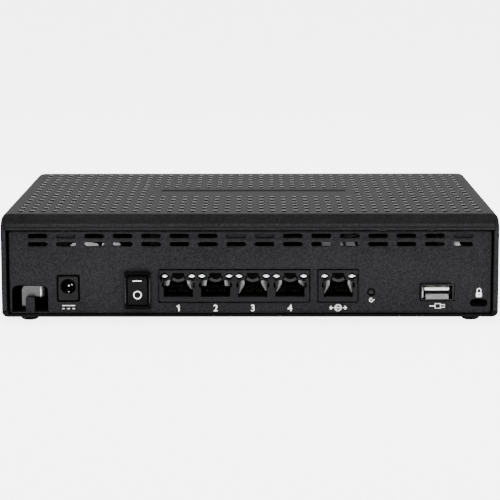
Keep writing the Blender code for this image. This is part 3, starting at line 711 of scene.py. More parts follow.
# wide network: a globe between two outward arrows
globe = (WAN_CENTRE, MARK_Z)
marks += [stroke(circle(*globe, 1.3), 0.3, True),
          stroke([(globe[0] - 1.3, globe[1]), (globe[0] + 1.3, globe[1])], 0.24),
          stroke(np.array(globe) + circle(0.0, 0.0, 1.3) * (0.45, 1.0), 0.22, True)]
for side in (-1, 1):
    x = globe[0] + side * 1.9
    marks += [stroke([(x, MARK_Z), (x + side * 1.3, MARK_Z)], 0.34),
              stroke([(x + side * 0.75, MARK_Z + 0.75), (x + side * 1.5, MARK_Z),
                      (x + side * 0.75, MARK_Z - 0.75)], 0.34)]
# reset: a broken ring with an arrow head
ring_x, ring_z = reset_x, reset_z - 3.2
marks += [stroke(arc(ring_x, ring_z, 0.72, 60, 360), 0.3),
          stroke([(ring_x + 0.2, ring_z + 0.1), (ring_x + 0.74, ring_z - 0.15),
                  (ring_x + 1.3, ring_z + 0.25)], 0.26)]
# direct current: a bar over three dashes
dc_x = (dc_low[0] + dc_high[0]) / 2
marks.append(stroke([(dc_x - 2.6, dc_low[2] - 1.65), (dc_x + 2.6, dc_low[2] - 1.65)], 0.32))
for k in (-1, 0, 1):
    marks.append(stroke([(dc_x + 2.05 * k - 0.5, dc_low[2] - 2.9),
                         (dc_x + 2.05 * k + 0.5, dc_low[2] - 2.9)], 0.32))
# bus socket: a plug seen from the side with its lead
plug_x, plug_z = (usb_low[0] + usb_high[0]) / 2 + 0.2, usb_low[2] - 2.45
marks += [stroke([(plug_x - 3.1, plug_z), (plug_x - 0.9, plug_z)], 0.4),
          stroke([(plug_x - 0.9, plug_z - 0.95), (plug_x + 1.2, plug_z - 0.95),
                  (plug_x + 1.2, plug_z + 0.95), (plug_x - 0.9, plug_z + 0.95),
                  (plug_x - 0.9, plug_z - 0.95), (plug_x + 0.1, plug_z - 0.95)], 0.34),
          stroke([(plug_x + 1.3, plug_z - 0.55), (plug_x + 2.9, plug_z - 0.55),
                  (plug_x + 2.9, plug_z + 0.55), (plug_x + 1.3, plug_z + 0.55)], 0.3)]
# lock: a closed shackle over a solid body with a hole
lock_foot = lock_z + 2.3
body = plate([rounded(lock_x - 1.15, lock_x + 1.15, lock_foot + 0.2, lock_foot + 2.1, 0.3),
              circle(lock_x, lock_foot + 1.15, 0.3, 16)],
             face_y - INK_THICK, face_y + 0.01, 0.005)
marks += [body, stroke(np.concatenate([[(lock_x + 0.74, lock_foot + 2.0)],
                                       arc(lock_x, lock_foot + 2.95, 0.74, 0, 180),
                                       [(lock_x - 0.74, lock_foot + 2.0)]]), 0.36)]


def ink(at):
    """White ink, a little thin in places."""
    cloud = at.noise(0.5, 2.0)
    return {"Base Color": cloud.between((0.76, 0.76, 0.75), INK),
            "Roughness": 0.45 + 0.15 * cloud}


piece("printed_marks", marks, material("pad_ink", {}, ink), angle=20.0, slot="panel_plastic")

# ============================================================ network sockets
# Moulded black blocks soldered to the board, a row of four and one apart, in
# folded tin covers.  Each mouth has a latch step, bright shield springs at its
# sides, eight gold wires, and two clear windows above.
JACK_BLACK = ((0.0022, 0.0022, 0.0026), (0.006, 0.006, 0.0068))
MOUTH = ((5.87, -3.48), (5.87, 0.2), (6.65, 0.7), (6.65, 2.1), (5.87, 2.6), (5.87, 3.49),
         (3.05, 3.49), (3.05, 4.95), (2.42, 4.95), (2.42, 6.39))
MOUTH_Z = 14.4
LAMP_SIDE, LAMP_Z = 5.5, 19.45
MOUTH_DEPTH = 11.5
SPRINGS = (((2.0, 2.4, 0.2), (3.3, 2.3, 0.6)), ((2.1, 2.2, 0.1), (2.1, 2.2, 0.1)),
           ((5.2, 2.4, 0.85), (4.0, 2.4, 0.7)), ((4.4, 2.5, 0.7), (2.3, 2.4, 0.8)),
           ((5.3, 2.4, 0.85), (4.8, 1.9, 0.7)))


def mouth(x):
    """Outline of one socket's mouth about its middle."""
    right_side = np.array(MOUTH)
    left_side = right_side[::-1] * (-1, 1)
    return np.concatenate([right_side, left_side]) + (x, MOUTH_Z)


def lozenge(x, z, long, tall):
    """A six-sided window, pointed at its two ends."""
    return np.array([(x - long / 2, z), (x - long / 14, z - tall / 2),
                     (x + long / 14, z - tall / 2), (x + long / 2, z),
                     (x + long / 14, z + tall / 2), (x - long / 14, z + tall / 2)])


def lens(x, z, long, tall, front, back):
    """A pillowed lozenge: outlines that shrink towards the front as the square
    root of the way there."""
    way = np.array([1.0, 0.96, 0.8, 0.5, 0.12])
    level = front + np.array([0.5, 0.28, 0.12, 0.03, 0.0])
    outline = eased(lozenge(0.0, 0.0, long, tall), 0.18, 3)
    rows = [np.column_stack([outline[:, 0] + x, np.full(len(outline), back),
                             outline[:, 1] + z])]
    for share, y in zip(way, level):
        rows.append(np.column_stack([outline[:, 0] * share + x, np.full(len(outline), y),
                                     outline[:, 1] * share + z]))
    return skin(np.array(rows))


def strip(path, wide, thick, across):
    """A bent flat strip: at each station a thin rectangle, wide along a fixed
    direction and thick along the normal that it makes with the path."""
    path = np.array(path, float)
    wide = np.broadcast_to(wide, len(path))
    way = np.gradient(path, axis=0)
    across = np.array(across, float)
    normal = np.cross(way, across)
    normal /= np.linalg.norm(normal, axis=1)[:, None]
    a = across[None] * wide[:, None] / 2
    b = normal * thick / 2
    return skin(np.stack([path + a + b, path - a + b, path - a - b, path + a - b], 1))


def wire(path, radius, steps=8):
    """A round wire: a circle carried along a path that bends in the YZ plane."""
    path = np.array(path, float)
    way = np.gradient(path, axis=0)
    way /= np.linalg.norm(way, axis=1)[:, None]
    side = np.array([1.0, 0.0, 0.0])
    other = np.cross(way, side)
    turn = np.linspace(0.0, 2 * math.pi, steps, endpoint=False)
    ring = (np.cos(turn)[None, :, None] * side + np.sin(turn)[None, :, None]
            * other[:, None, :])
    return skin(path[:, None] + radius * ring)


def smooth_path(points, steps):
    """A path through points, each coordinate eased with a cosine between them."""
    points = np.array(points, float)
    t = np.linspace(0.0, len(points) - 1, steps)
    k = np.minimum(t.astype(int), len(points) - 2)
    share = (t - k)[:, None]
    before = points[np.maximum(k - 1, 0)]
    after = points[np.minimum(k + 2, len(points) - 1)]
    a, b = points[k], points[k + 1]
    return 0.5 * (2 * a + (b - before) * share
                  + (2 * before - 5 * a + 4 * b - after) * share ** 2
                  + (3 * a - before - 3 * b + after) * share ** 3)


def walled(outer, inner, keep):
    """Two grids of points over the same cells, an outer and an inner one: kept
    cells are faced on both, and every edge where they end is walled across."""
    count, width = outer.shape[:2]
    total = count * width
    index = np.arange(total).reshape(count, width)
    quads = np.stack([index[:-1, :-1], index[:-1, 1:], index[1:, 1:], index[1:, :-1]], -1)
    quads = quads[keep]
    known = np.pad(keep, 1)
    along = known[:-1, 1:-1] != known[1:, 1:-1]
    down = known[1:-1, :-1] != known[1:-1, 1:]
    edges = np.concatenate([
        np.stack([index[:, :-1][along], index[:, 1:][along]], 1),
        np.stack([index[:-1][down], index[1:][down]], 1)])
    walls = np.concatenate([edges, edges[:, ::-1] + total], 1)
    points = np.concatenate([outer.reshape(-1, 3), inner.reshape(-1, 3)])
    return points, np.concatenate([quads, quads[:, ::-1] + total, walls]).tolist()


def spring(x, side, tall, wide, taper, front):
    """A bright leaf folded in from one side of a mouth: a sheet over height and
    width whose inner edge draws back towards the side as it goes down, and
    which slants back from the mouth as it goes in, with a slight bow."""
    down, across = np.meshgrid(np.linspace(0, 1, 7), np.linspace(0, 1, 6), indexing="ij")
    inward = wide * across * (1 - taper * np.clip((down - 0.3) / 0.7, 0, 1) ** 1.2)
    height = MOUTH_Z + 2.95 - tall * down
    depth = front + 0.5 + 0.9 * inward + 0.35 * np.sin(math.pi * across)
    face = np.stack([x + side * (5.78 - inward), depth, height], -1)
    return walled(face, face + (0.0, 0.22, 0.0), np.ones((6, 5), bool))


jack_plastic = moulded("jack_plastic", JACK_BLACK, 0.5, 0.3, 0.015, Specular_IOR_Level=0.1)
# a darker, duller copy of the socket plastic for the backs deep in the sockets, the gasket round
# the inlet and the bus socket's rib: painted shade in these recesses
well_black = moulded("well_black", ((0.0015, 0.0015, 0.0015), (0.004, 0.004, 0.004)), 0.6,
                     0.4, 0.01, Specular_IOR_Level=0.05)
# a lighter, shinier copy of the socket plastic for the latch bars: a painted highlight on their
# rounded lip
latch_grey = moulded("latch_grey", ((0.008, 0.008, 0.0085), (0.016, 0.016, 0.0165)), 0.45,
                     0.3, 0.01, Specular_IOR_Level=0.2)
shield_tin = plated("shield_tin", (0.14, 0.14, 0.14), 0.36, (1.0, 0.3, 1.0))
dull_tin = plated("dull_tin", (0.05, 0.05, 0.05), 0.45, (1.0, 0.3, 1.0))
contact_gold = plated("contact_gold", (0.08, 0.065, 0.04), 0.4)


def frosted(at):
    """Clear plastic with a milky core."""
    cloud = at.noise(0.8, 2.0)
    return {"Base Color": cloud.between((0.78, 0.80, 0.80), (0.90, 0.91, 0.90)),
            "Roughness": 0.18 + 0.15 * cloud}


lamp_plastic = material("lamp_plastic", {"IOR": 1.49, "Coat Weight": 0.3}, frosted)
for prefix, centres, sizes, low, high in (
        ("lan", LAN_CENTRES, SPRINGS[:4], lan_low, lan_high),
        ("wan", [WAN_CENTRE], SPRINGS[4:], wan_low, wan_high)):
    front = low[1]
    lamps = [(x + side * LAMP_SIDE) for x in centres for side in (-1, 1)]
    holes = [mouth(x) for x in centres]
    holes += [eased(lozenge(x, LAMP_Z, 4.5, 3.0), 0.3, 3) for x in lamps]
    face = rounded(low[0], high[0], low[2], high[2], 0.25)
    deep = front + MOUTH_DEPTH
    piece(prefix + "_socket_block",
          [plate([face] + holes, front, deep, 0.12)], jack_plastic,
          slot=prefix + "_jack_plastic", angle=30.0,
          stands_for=[prefix + "_jack_housing"])
    piece(prefix + "_socket_back",
          [slab((low[0] + 0.1, deep - 0.1, low[2] + 0.1), (high[0] - 0.1, high[1], high[2] - 0.1),
                0.3, 0.1, axis=1)], well_black)
    dress(prefix + "_jack_shield", dull_tin)
    piece(prefix + "_lamps", [lens(x, LAMP_Z, 3.05, 1.35, front + 0.2, deep) for x in lamps],
          lamp_plastic, slot=prefix + "_pipe_clear", stands_for=[prefix + "_light_pipe"],
          angle=60.0)
    leaves, wires, ramps = [], [], []
    catches = []
    for x, pair in zip(centres, sizes):
        leaves += [spring(x, side, *size, front) for side, size in zip((-1, 1), pair)]
        across = np.linspace(-2.35, 2.35, 13)
        crescent = np.column_stack([x + across, np.full(13, front + 2.6),
                                    MOUTH_Z + 2.95 + 0.9 * (across / 2.35) ** 2])
        catches.append(strip(crescent, 1.4, 1.1, (0.0, 1.0, 0.0)))
        ramps.append(slab((x - 5.2, deep - 2.6, MOUTH_Z - 3.3), (x + 5.2, deep, MOUTH_Z + 0.2),
                          0.4, 0.2, axis=0))
        for k in range(8):
            at_x = x - 3.57 + 1.02 * k
            route = smooth_path([(at_x, front + 8.0, MOUTH_Z - 2.6),
                                 (at_x, front + 8.2, MOUTH_Z - 1.9),
                                 (at_x, front + 9.2, MOUTH_Z - 0.7),
                                 (at_x, front + 11.2, MOUTH_Z + 0.6)], 16)
            wires.append(wire(route, 0.21))
    piece(prefix + "_springs", leaves, shield_tin, slot=prefix + "_shield_steel")
    names = ["%s_contacts_%d" % (prefix, k + 1) for k in range(4)]
    if prefix == "wan":
        names = ["wan_contacts"]
    piece(prefix + "_wires", wires, contact_gold, slot=names[0] + "_gold", stands_for=names)
    piece(prefix + "_wire_rests", ramps, well_black)
    piece(prefix + "_latch_bars", catches, latch_grey)

# ============================================================ power inlet
# A moulded block with a round mouth: a split nickel pin in the middle and a
# leaf spring that presses on the plug from below.
nickel = plated("nickel", (0.86, 0.85, 0.82), 0.16)
bore_z = dc_low[2] + 6.25
piece("inlet_block", [
    plate([grown("dc_jack_housing", -0.6),
           circle(dc_x, bore_z, 3.1, 48)], dc_low[1], dc_low[1] + 9.8, 0.2),
    slab((dc_low[0] + 0.1, dc_low[1] + 9.7, dc_low[2] + 0.1),
         (dc_high[0] - 0.1, dc_high[1], dc_high[2] - 0.1), 0.3, 0.1, axis=1)],
      jack_plastic, slot="dc_jack_plastic", stands_for=["dc_jack_housing"], angle=30.0)
piece("inlet_gasket", [plate([grown("dc_jack_housing", 1.1), grown("dc_jack_housing", -0.55)],
                             panel_back - 0.1, panel_back + 0.25, 0.03)], well_black)
pin_low, pin_high = span("dc_jack_pin")
tip = np.linspace(0.0, math.pi / 2, 7)
pin = [(0.02, pin_low[1])] + [(0.15 + 0.5 * math.sin(t), pin_low[1] + 0.9 * (1 - math.cos(t)))
                              for t in tip]
pin += [(0.65, pin_high[1] - 4.0)]
piece("inlet_pin", [turned_about(pin, (dc_x, 0.0, bore_z), axis=1)], nickel,
      slot="dc_pin_steel", stands_for=["dc_jack_pin"])
stud = [(0.02, dc_low[1] + 1.7), (0.22, dc_low[1] + 1.75), (0.36, dc_low[1] + 1.95),
        (0.42, dc_low[1] + 2.3), (0.42, dc_low[1] + 9.8)]
piece("inlet_studs", [turned_about(stud, (dc_x + x, 0.0, bore_z + z), axis=1, steps=16)
                      for x, z in ((1.35, 0.5), (0.2, -2.45))], nickel)
leaf_low, leaf_high = span("dc_jack_spring")
leaf = smooth_path([(dc_x, leaf_low[1], leaf_low[2] + 0.3), (dc_x, -64.6, leaf_low[2] + 1.0),
                    (dc_x, -63.2, leaf_low[2] + 1.4), (dc_x, -61.4, leaf_low[2] + 0.8),
                    (dc_x, leaf_high[1], leaf_low[2] + 0.5)], 18)
piece("inlet_leaf", [strip(leaf, 1.6, 0.25, (1.0, 0.0, 0.0))], nickel,
      slot="dc_spring_steel", stands_for=["dc_jack_spring"])

# ============================================================ power switch
# A snap-in rocker switch: a polished black frame with raised side rails, and a
# hollow-faced rocker with printed on and off marks, turning on two stubs.
GLOSS_BLACK = ((0.0005, 0.0005, 0.0006), (0.002, 0.002, 0.0022))
ROCKER_BLACK = ((0.0006, 0.0006, 0.0008), (0.0025, 0.0025, 0.003))
frame_gloss = moulded("frame_gloss", GLOSS_BLACK, 0.3, 0.9, 0.004, Specular_IOR_Level=0.015)
rocker_gloss = moulded("rocker_gloss", ROCKER_BLACK, 0.4, 0.5, 0.01,
                       Specular_IOR_Level=0.05)
# a lighter copy of the frame's black for the side rails: a painted highlight along the frame's
# inner edges
rail_painted_highlight = moulded("switch_rail_grey", ((0.012, 0.012, 0.0125), (0.018, 0.018, 0.0185)), 0.4,
                    0.6, 0.01, Specular_IOR_Level=0.1)
switch_x = (switch_low[0] + switch_high[0]) / 2
switch_z = (switch_low[2] + switch_high[2]) / 2
frame_back = face_y - 0.06
piece("switch_frame", [
    plate([rounded(switch_low[0], switch_high[0], switch_low[2], switch_high[2], 0.7),
           rounded(switch_x - 4.1, switch_x + 4.1, switch_z - 6.25, switch_z + 6.25, 0.35)],
          switch_low[1], frame_back, 0.3),
    plate([rounded(switch_x - 4.75, switch_x + 4.75, switch_z - 6.55, switch_z + 6.55, 0.4),
           rounded(switch_x - 4.12, switch_x + 4.12, switch_z - 6.27, switch_z + 6.27, 0.3)],
          frame_back - 0.2, -61.0, 0.03),
    slab((switch_x - 4.75, -61.1, switch_z - 6.55), (switch_x + 4.75, switch_high[1],
                                                     switch_z + 6.55), 0.4, 0.1, axis=1)],
      frame_gloss, slot="switch_plastic", stands_for=["switch_housing"], angle=35.0)
RAIL_SIDE, RAIL_HALF_WIDE, RAIL_HALF_TALL = 4.9, 0.25, 5.2
rails = []
for side in (-1, 1):
    rail_x = switch_x + side * RAIL_SIDE
    rails.append(slab(
        (rail_x - RAIL_HALF_WIDE, switch_low[1] - 0.1, switch_z - RAIL_HALF_TALL),
        (rail_x + RAIL_HALF_WIDE, switch_low[1] + 0.6, switch_z + RAIL_HALF_TALL), 0.2, 0.1))
piece("switch_rails", rails, rail_painted_highlight)
brass = plated("terminal_brass", (0.90, 0.74, 0.42), 0.3)
for level in ("lower", "upper"):
    dress("switch_terminal_" + level, brass, 0.1)

hinge = next(j for j in frame["joints"] if j["name"] == "power_rocker_hinge")
pivot = np.array(hinge["pos_m"]) * 1000.0
ROCKER_LEAN = math.radians(10.0)
ROCKER_HALF = 3.85


def rocker_section(inset):
    """The rocker's side outline about its pivot: a shallow hollow face between
    two rolled ends that are arcs about the pivot, and a blunt foot."""
    z = np.linspace(-5.3, 5.3, 23)
    hollow = -1.5 - 0.96 * (np.abs(z) / 5.45) ** 1.35
    turn = np.radians(np.linspace(112.5, 20.0, 9))
    upper = 5.98 * np.stack([np.cos(turn), np.sin(turn)], 1)
    y_face = np.column_stack([hollow, z])
    foot = np.array([(5.0, 1.3), (5.0, -1.3)])
    lower = upper[::-1] * (1, -1)
    outline = np.concatenate([y_face, upper, foot, lower])
    return outline * (1 - inset / 6.0)


def tilted(outline):
    """The outline turned about the pivot to where the off end is pressed."""
    y, z = outline[:, 0], outline[:, 1]
    return np.stack([y * math.cos(ROCKER_LEAN) - z * math.sin(ROCKER_LEAN),
                     y * math.sin(ROCKER_LEAN) + z * math.cos(ROCKER_LEAN)], 1) + pivot[1:]


roll = np.linspace(0.0, math.pi / 2, 4)
steps_x = np.concatenate([-ROCKER_HALF + 0.3 * (1 - np.cos(roll)),
                          ROCKER_HALF - 0.3 * (1 - np.cos(roll[::-1]))])
insets = np.concatenate([0.3 * (1 - np.sin(roll)), 0.3 * (1 - np.sin(roll[::-1]))])
rocker_rows = [np.column_stack([np.full(len(rocker_section(0.0)), pivot[0] + x),
                                tilted(rocker_section(inset))])
               for x, inset in zip(steps_x, insets)]
stub = turned_about([(0.9, -4.5), (0.93, -4.4), (0.93, 4.4), (0.9, 4.5)], pivot, axis=0)
piece("rocker", [skin(np.array(rocker_rows)), stub], rocker_gloss, body="rocker",
      slot="rocker_plastic", stands_for=["power_rocker"], angle=32.0)


def on_rocker(points, width, closed=False):
    """A line of ink laid on the rocker's hollow face: the flat line's own
    height above the face, followed up or down the hollow."""
    flat, faces = stroke(points, width, closed)
    lift = flat[:, 1] - face_y
    z = flat[:, 2]
    y = -1.5 - 0.96 * (np.abs(z) / 5.45) ** 1.35 + lift - 0.005
    leaned = tilted(np.column_stack([y, z]))
    return np.column_stack([flat[:, 0] + pivot[0], leaned]), faces


bar = [(x, 4.65) for x in np.linspace(-1.75, 1.75, 9)]
marks_on_rocker = [on_rocker(bar, 0.42), on_rocker(circle(0.0, -1.55, 1.48), 0.42, True)]
piece("rocker_marks", marks_on_rocker, bpy.data.materials["pad_ink"], body="rocker", angle=25.0)

# ============================================================ bus socket
# A folded, plated steel shell with spring leaves cut in its roof and floor, and
# a white insert whose tongue carries four gold contacts on its underside.
ux, uz = (usb_low[0] + usb_high[0]) / 2, (usb_low[2] + usb_high[2]) / 2
usb_tin = plated("bus_shell", (0.025, 0.025, 0.025), 0.35, (1.0, 0.3, 1.0))
usb_spring = plated("bus_springs", (0.3, 0.3, 0.3), 0.34, (1.0, 0.3, 1.0))
leaves = []
shell_parts = [plate([rounded(usb_low[0], usb_high[0], usb_low[2], usb_high[2], 0.7),
                      rounded(usb_low[0] + 0.38, usb_high[0] - 0.38, usb_low[2] + 0.38,
                              usb_high[2] - 0.38, 0.45)], usb_low[1], usb_high[1], 0.1)]
leaf_floor, leaf_roof = usb_low[2] + 0.45, usb_high[2] - 0.45
for x, wide, level, bow in ((0.0, 9.2, leaf_floor, 2.8), (-2.6, 2.4, leaf_roof, -0.45),
                            (2.6, 2.4, leaf_roof, -0.45)):
    leaf = smooth_path([(ux + x, usb_low[1] + 0.5, level), (ux + x, usb_low[1] + 2.6, level + bow),
                        (ux + x, usb_low[1] + 6.5, level + 0.3 * bow)], 12)
    leaves.append(strip(leaf, wide, 0.2, (1.0, 0.0, 0.0)))
piece("bus_springs", leaves, usb_spring)
piece("bus_shell", shell_parts, usb_tin, slot="usb_steel", stands_for=["usb_shell"], angle=35.0)
insert_white = moulded("insert_white", ((0.70, 0.70, 0.68), (0.82, 0.82, 0.80)), 0.38, 1.5, 0.01)
tongue_low, tongue_high = span("usb_tongue")
piece("bus_tongue", [
    slab((ux - 5.05, tongue_low[1], 13.5), (ux + 4.85, -57.0, 14.85), 0.45, 0.25, axis=0),
    slab((tongue_low[0], -58.0, tongue_low[2]), (tongue_high[0], tongue_high[1], tongue_high[2]),
         0.3, 0.1, axis=1)], insert_white, slot="usb_insert_white",
      stands_for=["usb_tongue"])
pads = [slab((ux + x - 0.6, tongue_low[1] + 0.5, 13.1), (ux + x + 0.6, -58.5, 13.45),
             0.2, 0.08) for x in (-3.5, -1.0, 1.0, 3.5)]
piece("bus_contacts", pads, contact_gold)
piece("bus_rib", [slab((ux - 4.9, tongue_low[1] + 0.1, 13.0), (ux + 4.9, -58.0, 13.55), 0.2, 0.1,
                       axis=0)], well_black)
piece("bus_side_springs", [slab((usb_low[0] + 0.42, usb_low[1] + 0.6, uz - 2.3),
                                (usb_low[0] + 0.95, -60.0, uz + 2.2), 0.2, 0.1, axis=0)],
      usb_spring)

# ============================================================ lead guide
# A narrow white nylon bridge on two legs, at the board's right edge, that
# keeps the aerial's lead off the sockets.
GUIDE_X, GUIDE_TOP, GUIDE_THICK = 84.2, 31.3, 1.4
GUIDE_BACK, GUIDE_FRONT, GUIDE_LEGS = -63.5, -45.0, (-61.5, -47.0)
guide = [slab((GUIDE_X - 1.1, GUIDE_BACK, GUIDE_TOP - GUIDE_THICK),
              (GUIDE_X + 1.1, GUIDE_FRONT, GUIDE_TOP), 0.5, 0.2)]
guide += [slab((GUIDE_X - 0.8, y - 0.8, board_high[2]),
               (GUIDE_X + 0.8, y + 0.8, GUIDE_TOP - 1.3), 0.3, 0.1) for y in GUIDE_LEGS]
piece("lead_guide", guide, insert_white)

# ============================================================ reset button
# A small black plunger sunk in its hole; its stem runs in a tiny push switch
# on the board, whose spring sends it back.
plunger = [(0.02, reset_low[1]), (0.7, reset_low[1] + 0.02), (1.05, reset_low[1] + 0.12),
           (1.3, reset_low[1] + 0.35), (1.4, reset_low[1] + 0.7), (1.4, reset_low[1] + 1.4),
           (2.2, reset_low[1] + 1.41), (2.2, reset_low[1] + 2.4), (1.0, reset_low[1] + 2.41),
           (1.0, reset_high[1])]
piece("reset_plunger", [turned_about(plunger, (reset_x, 0.0, reset_z), axis=1)],
      moulded("plunger_black", ((0.004, 0.004, 0.004), (0.01, 0.01, 0.01)), 0.4, 0.3, 0.01,
              Specular_IOR_Level=0.15),
      body="reset", slot="reset_plastic", stands_for=["reset_button"])
dress("reset_switch", resin, 0.15)

# ============================================================ cord hook and lock plate
# Behind the notch sits a pocket, coloured near black as painted shade, with a pale
# hook of bent sheet that a power cord is tucked under; a bright strip on its bend is
# a painted highlight.  A steel plate backs the lock slot.
# near black and without shine: painted shade inside the notch's pocket
dress("cord_pocket", moulded("pocket_black", ((0.0004, 0.0004, 0.0004), (0.001, 0.001, 0.001)), 0.9,
                             0.4, 0.01, Specular_IOR_Level=0.0))
hook_low, hook_high = span("cord_hook")
hook_face = hook_low[1] + 0.1
hook_metal = plated("hook_metal", (0.085, 0.085, 0.085), 0.42, (1.0, 1.0, 0.3))
plan = smooth_path([(0.0, 0.0, 0.0), (1.8, 0.0, 0.0), (4.0, 0.0, 0.0), (6.2, 0.0, 0.0),
                    (8.0, 0.0, 0.0), (8.8, 0.35, 0.0), (9.2, 1.4, 0.0), (9.3, 7.9, 0.0)], 36)
reach = plan[:, 0]
top = np.interp(reach, (0.0, 0.15, 0.5, 1.1, 9.7), (2.6, 3.3, 3.9, 4.25, 4.25))
foot = np.interp(reach, (0.0, 1.75, 1.95, 9.7), (-4.0, -4.0, 0.0, 0.0))
share = np.linspace(0.0, 1.0, 5)
height = foot[:, None] + (top - foot)[:, None] * share
hook_sheet = np.stack([np.repeat(reach[:, None], 5, 1) + hook_low[0],
                       np.repeat(plan[:, 1:2], 5, 1) + hook_face, height + hook_high[2] - 4.8], -1)
edge_way = np.gradient(plan, axis=0)
edge_way /= np.linalg.norm(edge_way, axis=1)[:, None]
hook_back = hook_sheet + 0.9 * np.stack([-edge_way[:, 1], edge_way[:, 0],
                                         np.zeros(len(plan))], 1)[:, None]
piece("bent_hook", [walled(hook_sheet, hook_back, np.ones((len(plan) - 1, 4), bool))],
      hook_metal, slot="hook_metal", stands_for=["cord_hook"], angle=30.0)
# a near-white strip on the hook's bend: a painted highlight where the bend catches the light
piece("hook_ridge", [slab((hook_low[0] + 7.35, hook_face - 0.14, hook_high[2] - 4.75),
                          (hook_low[0] + 7.95, hook_face + 0.5, hook_high[2] - 0.6), 0.2, 0.1)],
      plated("hook_burnish", (0.8, 0.8, 0.8), 0.25))
dress("lock_bracket", plated("lock_plate", (0.30, 0.30, 0.31), 0.45), 0.1)

# ============================================================ roof shell
# One moulding makes the roof, both side walls and the lip over the sockets:
# black ABS, spark finished, two millimetres thick with softly rolled edges.
SHELL_BLACK = ((0.0018, 0.0017, 0.0017), (0.0094, 0.0090, 0.0090))
OUTER_PATH = ((100.0, 5.5), (100.0, 22.0), (100.0, 36.0), (99.97, 38.6), (99.9, 40.2),
              (99.75, 41.6), (99.5, 42.8), (99.15, 43.7), (98.7, 44.35), (98.1, 44.75),
              (97.4, 44.95), (96.6, 45.0), (94.92, 45.0))
INNER_PATH = ((98.0, 5.5), (98.0, 22.0), (98.0, 34.0), (98.0, 36.0), (98.0, 37.4),
              (98.0, 38.4), (97.9, 39.9), (97.7, 41.2), (97.3, 42.2), (96.8, 42.75),
              (96.2, 42.95), (95.6, 43.0), (94.92, 43.0))
LIP_Z, LIP_THICK, LIP_ROLL = 38.2, 1.5, 0.9
GRILLE_Y = (-66.1, 62.9)
shell_low, shell_high = span("top_cover")


def mirrored(path):
    """A path over the right half, carried on over the left half."""
    right_half = np.array(path, float)
    return np.concatenate([right_half, right_half[::-1] * (-1, 1)])


def pushed(path, by):
    """A path moved to its right by a distance, along its normals."""
    way = np.gradient(path, axis=0)
    way /= np.linalg.norm(way, axis=1)[:, None]
    return path + by * np.stack([-way[:, 1], way[:, 0]], 1)


outer_path, inner_path = mirrored(OUTER_PATH), mirrored(INNER_PATH)
lip_path = np.column_stack([inner_path[:, 0], np.minimum(inner_path[:, 1], LIP_Z)])
rear = shell_low[1]
roll = np.linspace(0.0, math.pi / 2, 5)
outer_rows, inner_rows = [], []
for t in roll:
    depth = 0.5 * (1 - math.cos(t))
    outer_rows.append((rear + depth, pushed(outer_path, 0.5 * (1 - math.sin(t)))))
    rise = LIP_ROLL * (1 - math.sqrt(1 - (1 - depth / 0.5) ** 2))
    lip = lip_path + np.column_stack([np.zeros(len(lip_path)),
                                      rise * (lip_path[:, 1] > LIP_Z - 0.01)])
    inner_rows.append((rear + depth, lip))
outer_rows += [(y, outer_path) for y in (rear + LIP_THICK, rear + LIP_THICK + 0.01, GRILLE_Y[0],
                                         GRILLE_Y[1], shell_high[1])]
inner_rows += [(rear + LIP_THICK, lip_path)]
inner_rows += [(y, inner_path) for y in (rear + LIP_THICK + 0.01, GRILLE_Y[0], GRILLE_Y[1],
                                         shell_high[1])]


def grid(rows_of):
    """Stack (depth, path) rows into an array of points."""
    return np.array([np.column_stack([path[:, 0], np.full(len(path), y), path[:, 1]])
                     for y, path in rows_of])


outer_grid, inner_grid = grid(outer_rows), grid(inner_rows)
keep = np.ones((len(outer_rows) - 1, len(outer_path) - 1), bool)
keep[-2, len(OUTER_PATH) - 1] = False
shell_finish = moulded("shell_spark", SHELL_BLACK, 0.66, 0.6, 0.04, 0.7, Specular_IOR_Level=0.04)
# a lighter, shinier copy of the shell plastic: a painted highlight for the slot chamfers that face
# the socket side
rubbed_edge = moulded("rubbed_edge", ((0.02, 0.0195, 0.0195), (0.05, 0.049, 0.049)), 0.42, 0.6,
                      0.02, 0.7, Specular_IOR_Level=0.5)


def refinish_faces_facing(item, finish, low, high, facing):
    """Give a piece's faces whose middles lie in a box, in millimetres, and that
    lean towards a direction, a finish of their own."""
    middles = np.zeros(3 * len(item.data.polygons))
    normals = np.zeros(3 * len(item.data.polygons))
    item.data.polygons.foreach_get("center", middles)
    item.data.polygons.foreach_get("normal", normals)
    middles = middles.reshape(-1, 3) * 1000.0
    leaning = normals.reshape(-1, 3) @ facing > 0.3
    inside = np.all((middles > low) & (middles < high), axis=1) & leaning
    known = np.zeros(len(item.data.polygons), np.int32)
    item.data.polygons.foreach_get("material_index", known)
    if finish.name not in item.data.materials:
        item.data.materials.append(finish)
    known[inside] = item.data.materials.find(finish.name)
    item.data.polygons.foreach_set("material_index", known)


shell = piece("shell", [walled(outer_grid, inner_grid, keep)], shell_finish, angle=35.0,
              slot="cover_plastic", stands_for=["top_cover"])
for side in (-1, 1):
    refinish_faces_facing(shell, panel_finish, (side * 99.0 - 1.2, -70.1, 5.0), (side * 99.0 + 1.2, -69.9, LIP_Z),
        (0.0, -1.0, 0.0))
# two fine raised lines along the lip
LIP_LINES = ((39.85, 40.95), (38.5, 39.15))
line_x = np.array([-98.4, -98.0, -97.4, 97.4, 98.0, 98.4])
line_out = np.array([0.1, 0.7, 1.0, 1.0, 0.7, 0.1])
lines = []
for low_z, high_z in LIP_LINES:
    section = np.array([(-69.8, high_z + 0.05), (-70.0, high_z), (-70.1, high_z - 0.15),
                        (-70.1, low_z + 0.15), (-70.0, low_z), (-69.8, low_z + 0.1)])
    lines.append(skin(np.array([
        np.column_stack([np.full(len(section), x), -69.7 + (section[:, 0] + 69.7) * out,
                         section[:, 1]]) for x, out in zip(line_x, line_out)])))
piece("lip_lines", lines, panel_finish, angle=40.0)
screw_posts = []
for side in (-1, 1):
    for y in (-44.0, 50.0):
        ring_wall = [(1.4, 9.0), (3.2, 9.0), (3.3, 43.02), (1.4, 43.02)]
        screw_posts.append(turned_about(ring_wall, (side * 93.0, y, 0.0), steps=24))
piece("shell_posts", screw_posts, shell_finish)

